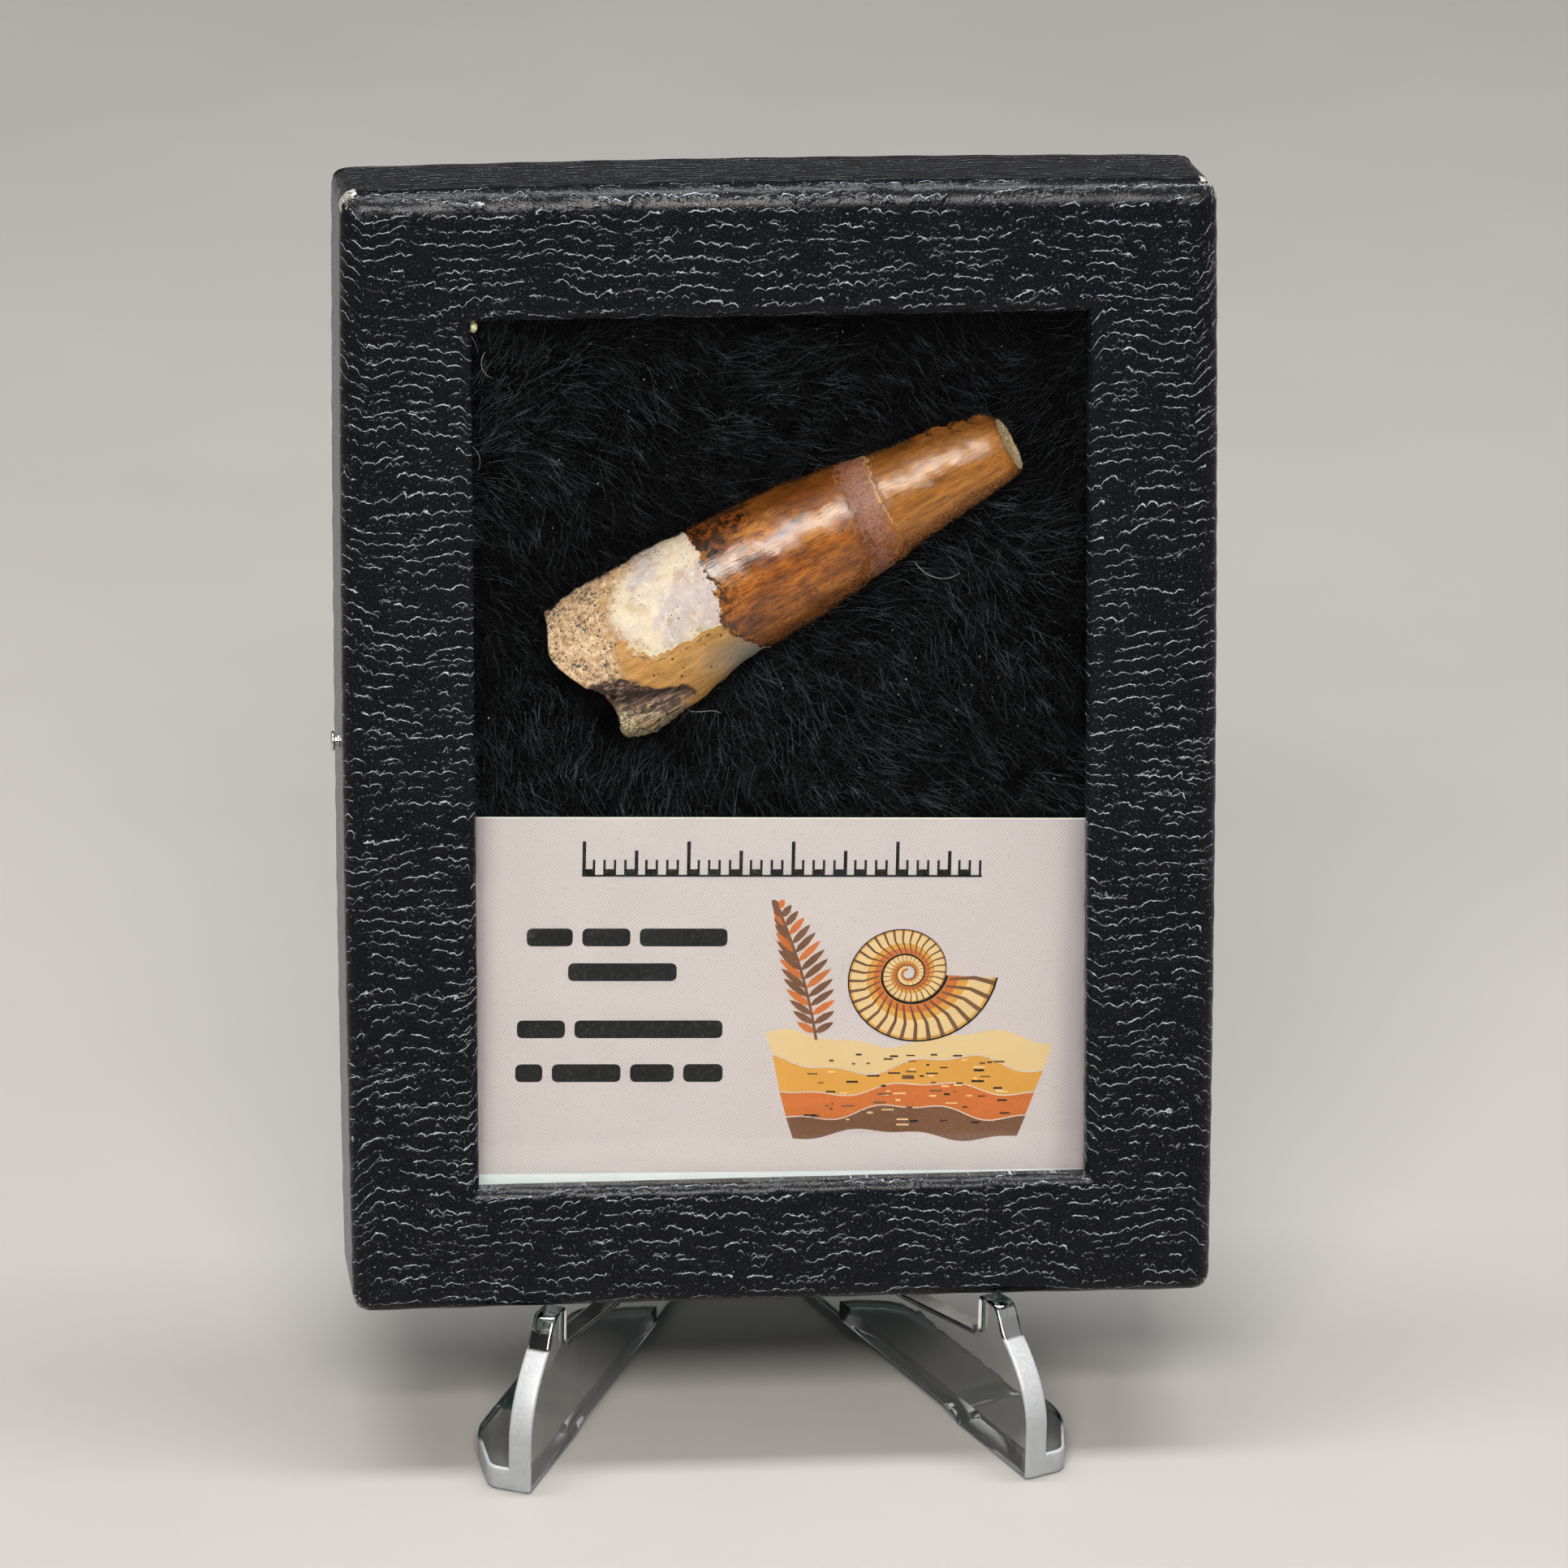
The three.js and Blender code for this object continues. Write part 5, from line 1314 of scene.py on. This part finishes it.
HALF_LEAFLET = ((0, 0.05), (0.25, 0.3), (0.55, 0.34), (0.85, 0.18), (1, 0))
for k in range(15):
    share = k / 14
    base = along_stem(share)
    long = 3.1 * math.sin(math.pi * (0.2 + 0.72 * share)) ** 0.8
    for side in (-1, 1):
        rise = math.radians(30 + 25 * share)
        run_x, run_y = side * math.cos(rise), -math.sin(rise)
        outline = HALF_LEAFLET + tuple((t, -half) for t, half in HALF_LEAFLET[-2::-1])
        stamp([(base[0] + run_x * long * t - run_y * half, base[1] + run_y * long * t + run_x * half)
               for t, half in outline], BROWN if (k + (side > 0)) % 3 else ORANGE, 2)
stem = [along_stem(share) for share in np.linspace(-0.06, 1.04, 16)]
stamp([(a - 0.14, d) for a, d in stem] + [(a + 0.14, d) for a, d in stem[::-1]], BROWN, 3)

label_print = make_object("label_print", np.concatenate(print_points), print_faces, ink_materials,
                          print_inks)
label_print.data.shade_flat()
belongs(label_print, "printed_card")


# %% [markdown]
# ## The two pins
# A dressmaker's pin with a turned head goes through the middle of each side of the lid and keeps
# it shut. A pin is a lathe's work: one profile, from its point to its stepped head, is turned
# about its own axis. It is nickel-plated steel, nearly white, with fine rings from the turning.

# %% Pins
steel, tree, surface = new_material("nickel-plated steel")
place = add(tree, VALUE_OF, out="Vector", attribute_name="pin_place")
rings = add(tree, NOISE, {"Vector": place, "Scale": 9.0, "Detail": 2.0})
tarnish = add(tree, NOISE, {"Vector": in_mm(tree), "Scale": 2.2, "Detail": 3.0})
tarnish = add(tree, SPREAD, [tarnish, 0.45, 0.7])
plating = add(tree, TINT, [tarnish, "#dcdad6", "#b3aea6"])
polish = add(tree, SPREAD, [rings, 0.0, 1.0, 0.16, 0.34])
turned = add(tree, BUMP, {"Height": rings, "Strength": 0.4, "Distance": 0.01 * MM})
feed(tree, surface, {"Base Color": plating, "Metallic": 1.0, "Roughness": polish, "Normal": turned})

PIN_HEIGHT, PIN_DEPTH, PIN_END, PIN_LONG = 54.2, BOX_DEPTH / 2, 42.4, 7.9
PIN_PROFILE = (  # radius, and how far back from the head's end
    (0.0, PIN_LONG), (0.16, PIN_LONG - 0.3), (0.45, PIN_LONG - 1.2), (0.45, 0.9), (0.6, 0.87),
    (0.68, 0.82), (0.7, 0.74), (0.69, 0.67), (0.6, 0.6), (0.5, 0.56), (0.5, 0.46), (0.6, 0.41),
    (0.84, 0.38), (0.92, 0.33), (0.95, 0.24), (0.93, 0.14), (0.86, 0.07), (0.7, 0.02), (0.4, 0.005),
    (0.0, 0.0),
)
PIN_SIDES = 40
turns = np.linspace(0, 2 * math.pi, PIN_SIDES + 1)[:-1]
radius, back_from_end = np.array(PIN_PROFILE[1:-1]).T
reach, tips = PIN_END - back_from_end, np.array([PIN_END - PIN_LONG, PIN_END])
for side, name in ((-1, "left"), (1, "right")):
    depth = PIN_DEPTH + radius[:, None] * np.cos(turns)
    z = PIN_HEIGHT + radius[:, None] * np.sin(turns)
    x = side * reach[:, None] + 0 * depth
    points = in_box(x, depth, z).reshape(-1, 3)
    ends = in_box(side * tips, PIN_DEPTH, PIN_HEIGHT)
    count, last = len(points), len(points) - PIN_SIDES
    faces = grid_faces(len(reach), PIN_SIDES, around=True)
    faces += [(count, (k + 1) % PIN_SIDES, k) for k in range(PIN_SIDES)]
    faces += [(count + 1, last + k, last + (k + 1) % PIN_SIDES) for k in range(PIN_SIDES)]
    pin = make_object("pin_" + name + "_turned", np.concatenate([points, ends]), faces, [steel])
    along = np.concatenate([x.ravel(), side * tips])
    store(pin, pin_place=np.stack([along, 0 * along, 0 * along], -1))
    sharpen(pin, 50)
    belongs(pin, "pin_steel", "pin_" + name)


# %% [markdown]
# ## The easel
# The easel is two moulded plates of clear styrene that hook together at the back. Each plate
# has a lip in front, a ledge for the box, a tall arm behind it and a foot along its bottom edge.
# An outline is drawn from straight and bent strokes, then thickened to a slab whose edges are
# slightly round, because clear plastic shows its edges more than its faces. Booleans weld plate,
# foot and hinge knuckles into one solid: inside a clear piece every leftover wall would show.

# %% Slabs with soft edges
EASEL_SHIFT, TOE_X, TOE_Y, HINGE_Y = -0.85, 23.9, -28.0, 25.4
PLATE_THICK, FOOT_THICK, ARM_TOP = 2.3, 2.4, 84.0
SPLAY = math.atan2(TOE_X, HINGE_Y - 0.4 - TOE_Y)
CLEARANCE = 0.3


def drawn(start, *strokes):
    """Points along strokes. A stroke of one point is straight, more points bend it."""
    points = [np.array(start, float)]
    for stroke in strokes:
        fixed = [points[-1], *(np.array(p, float) for p in stroke)]
        for t in np.linspace(0, 1, 9)[1:] if len(stroke) > 1 else (1.0,):
            hull = fixed
            while len(hull) > 1:
                hull = [p + (q - p) * t for p, q in zip(hull, hull[1:])]
            points.append(hull[0])
    return np.array(points)


def shrunk(outline, inset):
    """The outline moved inwards everywhere by the same amount."""
    following = np.roll(outline, -1, 0) - outline
    following /= np.linalg.norm(following, axis=1)[:, None]
    before = np.roll(following, 1, 0)
    turned = np.cross(outline, np.roll(outline, -1, 0)).sum() > 0
    inward_a = np.stack([-before[:, 1], before[:, 0]], -1) * (1 if turned else -1)
    inward_b = np.stack([-following[:, 1], following[:, 0]], -1) * (1 if turned else -1)
    open_up = np.maximum(1 + (inward_a * inward_b).sum(1), 0.4)
    return outline + (inward_a + inward_b) / open_up[:, None] * inset


def soft_slab(name, outline, low, high, to_room, materials, edge=0.3):
    """A slab between two levels, its edges rounded. The second material is its edge's."""
    steps = [(edge * (1 - math.sin(t)), edge * (1 - math.cos(t))) for t in np.linspace(0, math.pi / 2, 5)]
    steps = [(edge + 0.12, 0.0), *steps]
    levels = [(inset, low + rise) for inset, rise in steps]
    levels += [(inset, high - rise) for inset, rise in steps[::-1]]
    rings = [np.column_stack([shrunk(outline, inset), np.full(len(outline), z)]) for inset, z in levels]
    count = len(outline)
    faces = grid_faces(len(rings), count, around=True, capped=True)
    slots = [0] * count + [1] * (len(faces) - 2 * count - 2) + [0] * (count + 2)
    return make_object(name, to_room(*np.concatenate(rings).T), faces, materials, slots)


def merged(target, other, operation):
    """Welds other to target, or cuts it away, and removes it."""
    modifier = target.modifiers.new("merge", "BOOLEAN")
    modifier.object, modifier.operation, modifier.solver = other, operation, "MANIFOLD"
    graph = bpy.context.evaluated_depsgraph_get()
    mesh = bpy.data.meshes.new_from_object(target.evaluated_get(graph))
    target.modifiers.clear()
    old, target.data = target.data, mesh
    bpy.data.meshes.remove(old)
    bpy.data.objects.remove(other)


# %% Clear styrene
# Polystyrene has an IOR of 1.59. Moulding leaves its faces glossy but very slightly wavy, and
# handling leaves hair-fine scratches. The front edges of lip and toe, up to the height where the
# mould parts, are frosted grey.
def styrene(name, roughest, frosted):
    made, tree, surface = new_material(name)
    place = in_mm(tree)
    flow = add(tree, NOISE, {"Vector": place, "Scale": 0.16, "Detail": 2.0})
    streaked = add(tree, STRETCH, [place, (0.6, 0.6, 3.0)])
    scratch = add(tree, NOISE, {"Vector": streaked, "Scale": 2.4, "Detail": 4.0})
    haze = add(tree, SPREAD, [scratch, 0.45, 0.8, 0.25 * roughest, roughest])
    wavy = add(tree, BUMP, {"Height": flow, "Strength": 0.5, "Distance": 0.12 * MM})
    clouded = add(tree, TINT, [scratch, "#f4f6f6", "#ffffff"])
    feed(tree, surface, {"Base Color": clouded, "Roughness": haze, "Normal": wavy, "IOR": 1.59,
                         "Transmission Weight": 1.0})
    if frosted:
        split = add(tree, SPLIT, [place], out="Y")
        in_front = add(tree, SPREAD, [split, -20.5, -22.0])
        under_lip = add(tree, SPREAD, [split.node.outputs["Z"], 13.1, 12.8])
        frost = add(tree, TIMES, [in_front, under_lip])
        grain = add(tree, NOISE, {"Vector": place, "Scale": 5.0, "Detail": 3.0})
        grain = add(tree, SPREAD, [grain, 0.3, 0.7, 0.62, 0.42])
        clear = add(tree, MIX, [frost, 1.0, grain])
        clouded = add(tree, TINT, [frost, clouded, "#a0a4a6"])
        haze = add(tree, MIX, [frost, haze, 0.45])
        feed(tree, surface, {"Transmission Weight": clear, "Base Color": clouded, "Roughness": haze})
    tint = add(tree, "ShaderNodeVolumeAbsorption", {"Color": "#e6efee", "Density": 12.0})
    feed(tree, tree.nodes["Material Output"], {"Volume": tint})
    return made


styrenes = [styrene("clear moulded styrene", 0.08, False), styrene("frosted styrene edge", 0.16, True)]


# %% Easel halves
def lip_top(u):
    return FRONT_Z - (TOE_Y + u * math.cos(SPLAY) - FRONT_Y) * math.tan(LEAN) - CLEARANCE


def along_plate(y):
    return (y - TOE_Y) / math.cos(SPLAY)


def arm_front(v):
    """Where the arm meets the box's back, at height v."""
    climbed = v - FRONT_Z + BOX_DEPTH * math.sin(LEAN)
    back_y = FRONT_Y + BOX_DEPTH * math.cos(LEAN) + climbed * math.tan(LEAN)
    return along_plate(back_y + CLEARANCE / math.cos(LEAN))


heel = along_plate(HINGE_Y) - 0.9
plate_outline = drawn(
    (0.5, 0), [(0, 0), (0, 0.5)], [(0, 5.5)], [(0.3, 9.8), (5.1, 13.3)], [(6.3, 15.3)],
    [(6.8, 15.9), (7.6, lip_top(8) - 0.05)], [(9.5, lip_top(9.5))],
    [(10, lip_top(10)), (10, lip_top(10) - 0.6)], [(10, 12.1)], [(10, 11.5), (10.6, 11.4)],
    [(arm_front(8.7) - 1.2, 8.9)], [(arm_front(8.7), 8.7), (arm_front(9.9), 9.9)],
    [(arm_front(ARM_TOP - 2), ARM_TOP - 2)],
    [(arm_front(ARM_TOP), ARM_TOP + 0.6), (49.5, ARM_TOP + 0.8), (50, ARM_TOP - 2)],
    [(51.2, 66), (heel, 56), (heel, 36)], [(heel, 0)], [(51, 0)], [(49.5, 0.9), (46, 0.9)],
    [(18, 0.9)], [(14.5, 0.9), (13, 0)],
)
foot_outline = drawn(
    (0, 0.4), [(0, 3.3)], [(0, 4.3), (0.9, 4.8)], [(5.2, 7.3)], [(7, 8.2), (9, 8.2)],
    [(32, 8.2)], [(36, 8.2), (38, 0.4)],
)
arch_outline = drawn((13, -1), [(13, 0)], [(14.5, 0.9), (18, 0.9)], [(46, 0.9)], [(49.5, 0.9), (51, 0)],
                     [(51, -1)])
KNUCKLES = {"right": ((3.0, 10.0), (24.0, 31.0)), "left": ((10.3, 23.7),)}  # from and to, up the hinge
KNUCKLE_RADIUS, AXLE_RADIUS = 2.6, 1.1


def in_room(x, y, z):
    """Millimetres that are in the room's own directions already."""
    return np.stack([x, y, z], -1) * MM


def hinge_rod(name, radius, low, high, sides=48):
    """A rod about the hinge's axis, before the easel's shift."""
    turns = np.linspace(0, 2 * math.pi, sides + 1)[:-1]
    outline = np.stack([EASEL_SHIFT + radius * np.cos(turns), HINGE_Y + radius * np.sin(turns)], -1)
    return soft_slab(name, outline, low, high, in_room, styrenes, 0.15)


for side, name, other_name in ((1, "right", "left"), (-1, "left", "right")):
    def at_half(u, v, w):
        x = side * (TOE_X - u * math.sin(SPLAY) + w * math.cos(SPLAY)) + EASEL_SHIFT
        return in_room(x, TOE_Y + u * math.cos(SPLAY) + w * math.sin(SPLAY), v)

    half = soft_slab("easel_" + name + "_clear", plate_outline, 0, PLATE_THICK, at_half, styrenes)
    foot = soft_slab("foot", foot_outline, 0, FOOT_THICK, lambda u, w, v: at_half(u, v, w), styrenes)
    arch = soft_slab("arch", arch_outline, -1, 10, at_half, styrenes, 0.05)
    merged(foot, arch, "DIFFERENCE")
    merged(half, foot, "UNION")
    for low, high in KNUCKLES[other_name]:
        room = hinge_rod("room", KNUCKLE_RADIUS + CLEARANCE, low - CLEARANCE, high + CLEARANCE)
        merged(half, room, "DIFFERENCE")
    for low, high in KNUCKLES[name]:
        merged(half, hinge_rod("knuckle", KNUCKLE_RADIUS, low, high), "UNION")
    if side > 0:
        merged(half, hinge_rod("axle", AXLE_RADIUS, 4, 30), "UNION")
    else:
        merged(half, hinge_rod("bore", AXLE_RADIUS + 0.35, 4, 30), "DIFFERENCE")
        # a slot from the bore out to the back lets the axle snap in
        corners = np.array([(-1.1, 0.2), (0.7, 0.2), (0.7, 4.2), (-1.1, 4.2)]) + (EASEL_SHIFT, HINGE_Y)
        mouth = soft_slab("mouth", corners, 2, 32, in_room, styrenes, 0.02)
        merged(half, mouth, "DIFFERENCE")
    sharpen(half, 32)
    with edited(half.data) as shape:
        print(half.name, "open edges left", sum(not e.is_manifold for e in shape.edges))
    belongs(half, "clear_styrene", "easel_" + name)


# %% [markdown]
# ## Lint, dust and a bead of glue
# A few pale hairs and some dust lie on the wadding, and a bead of dried glue sits in one corner
# of the window. They are tiny, but a real box has them. Each hair is a thin tube along a bent
# line, and each crumb is a small lump pushed out of shape by chance.

# %% Lint and dust
lint = mottled("pale lint", "#8f8c88", "#d2cfca", 2.0, 2.0, Roughness=0.6, IOR=1.5)

HAIR_RADIUS, HAIR_SIDES = 0.035, 5
HAIRS = (  # (x, z) along each hair, in mm on the box
    ((-27.6, 92.2), (-28.4, 91.2), (-27.9, 89.9), (-26.9, 89.7)),
    ((-29.2, 94.3), (-28.8, 93.4), (-28.2, 92.6), (-28.3, 92.1)),
    ((-28.9, 83.2), (-28.3, 82.7), (-27.9, 81.6), (-28.4, 80.9)),
    ((13.5, 70.5), (14.4, 69.2), (16.2, 68.9), (17.5, 69.9)),
    ((-8.5, 56.6), (-7.2, 56.1), (-6.1, 56.9), (-5.2, 56.4)),
)
turns = np.linspace(0, 2 * math.pi, HAIR_SIDES + 1)[:-1]
hair_points, hair_faces = [], []
for hair in HAIRS:
    path = drawn(hair[0], hair[1:])
    depth = wadding_depth(path[:, 0], path[:, 1]) - 0.75
    run = np.gradient(path, axis=0)
    run /= np.linalg.norm(run, axis=1)[:, None]
    size = HAIR_RADIUS * np.linspace(1.0, 0.45, len(path))[:, None]
    x = path[:, :1] - run[:, 1:] * size * np.cos(turns)
    z = path[:, 1:] + run[:, :1] * size * np.cos(turns)
    first = len(hair_points) * x.size
    hair_points.append(in_box(x, depth[:, None] + size * np.sin(turns), z).reshape(-1, 3))
    hair_faces += [tuple(first + k for k in face)
                   for face in grid_faces(len(path), HAIR_SIDES, around=True, capped=True)]
hairs = make_object("lint_hairs", np.concatenate(hair_points), hair_faces, [lint])
belongs(hairs, None)  # no finish name is given for the hairs


def crumbs_at(name, places, size, material, seed, finer=1):
    """Small uneven lumps at (x, depth, z) places."""
    draw = random.Random(seed)
    shape = bmesh.new()
    for place in places:
        lump = bmesh.ops.create_icosphere(shape, subdivisions=finer, radius=1.0)["verts"]
        radius = size * draw.uniform(0.5, 1.3)
        stretch = [draw.uniform(0.5, 1.2) for _ in range(3)]
        for v in lump:
            knock = radius * draw.uniform(0.75, 1.1)
            moved = [place[k] + v.co[k] * stretch[k] * knock for k in range(3)]
            v.co = Vector(in_box(*moved).tolist())
    mesh = bpy.data.meshes.new(name)
    shape.to_mesh(mesh)
    shape.free()
    mesh.materials.append(material)
    mesh.shade_smooth()
    print(name, "triangles", len(mesh.polygons))
    return placed(name, mesh)


draw = random.Random(29)
dust_places = []
while len(dust_places) < 90:
    x, z = draw.uniform(-28, 28), draw.uniform(49, 94)
    depth = float(wadding_depth(np.array(x), np.array(z)))
    if depth < 8.5:
        dust_places.append((x, depth - draw.uniform(0.25, 0.7), z))
dust = crumbs_at("lint_dust", dust_places, 0.085, lint, 5)
belongs(dust, None)

# %% The bead of glue
glue = mottled("dried glue", "#6f6c4c", "#c2bd94", 2.6, 3.0, Roughness=0.35, IOR=1.48)
bead = crumbs_at("glue_bead", [(-29.0, 1.9, 95.6), (-28.9, 2.2, 95.0), (-29.1, 1.5, 95.9)], 0.42, glue, 8,
                 finer=3)
belongs(bead, None)


# %% [markdown]
# ## Floor and light
# The floor is a plain pale sheet. A large soft panel in front and above is the main light, as
# for a real product picture: it models the tooth and throws the window's short shadow. A narrow
# panel overhead lays the band of light on the lid's top edge, and a weak one fills from the
# right. The dome behind them is pale near the horizon at the sides, but dark in front and behind,
# because the glass and the satin paper mirror those parts to the camera. The floor stops short
# in front for the same reason.

# %% Floor and light
floor_paint = mottled("pale floor board", "#706e6b", "#777572", 0.02, 3.0, Roughness=0.7)
FLOOR_CORNERS = [(-3, -0.85), (3, -0.85), (3, 3), (-3, 3)]  # in metres
floor = make_object("floor", [(x, y, -0.02 * MM) for x, y in FLOOR_CORNERS], [(0, 1, 2, 3)], [floor_paint])
floor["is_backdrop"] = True

world = bpy.data.worlds.new("dome")
bpy.context.scene.world = world
world.use_nodes = True
tree = world.node_tree
sky = tree.nodes["Background"]
direction = add(tree, "ShaderNodeTexCoord", out="Generated")
split = add(tree, SPLIT, {"Vector": direction}, out="Z")
glow = add(tree, EASED, [split, 0.45, 1.0, 0.015, 0.7])
near_horizon = add(tree, EASED, [split, 0.32, 0.06, 0.0, 0.45])
along = add(tree, SIZE_OF, [split.node.outputs["Y"]])
at_sides = add(tree, SPREAD, [along, 0.88, 0.6])
glow = add(tree, TIMES_PLUS, [near_horizon, at_sides, glow])
to_side = add(tree, SIZE_OF, [split.node.outputs["X"]])
to_side = add(tree, EASED, [to_side, 0.6, 1.0, 0.0, 0.12])
glow = add(tree, PLUS, [glow, to_side])
feed(tree, sky, {"Color": (1.0, 1.0, 1.0, 1.0), "Strength": glow})


def soft_panel(name, azimuth, elevation, distance, wide, tall, watts, tint="#ffffff"):
    """A square light that looks at the box. Azimuth 0 is in front, 90 on its right."""
    turn, climb = math.radians(azimuth), math.radians(elevation)
    out = Vector((math.sin(turn) * math.cos(climb), -math.cos(turn) * math.cos(climb), math.sin(climb)))
    data = bpy.data.lights.new(name, "AREA")
    data.shape, data.size, data.size_y = "RECTANGLE", wide, tall
    data.energy, data.color = watts, linear(tint)[:3]
    lamp = placed(name, data)
    lamp.location = TARGET + out * distance
    lamp.rotation_euler = out.to_track_quat("Z", "Y").to_euler()


soft_panel("front panel", -9, 41, 0.95, 0.55, 0.28, 23.5, "#fffaf5")
soft_panel("overhead panel", 0, 94, 0.8, 0.9, 0.16, 15)
soft_panel("side panel", 62, 34, 1.2, 0.6, 0.6, 4)
bpy.context.scene.view_settings.view_transform = "Standard"


# %% [markdown]
# ## Measure and finish
# The box round the dressed model is measured. The dressed model has to stay inside the
# imported one's box.

# %% Measure and finish
low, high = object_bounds()
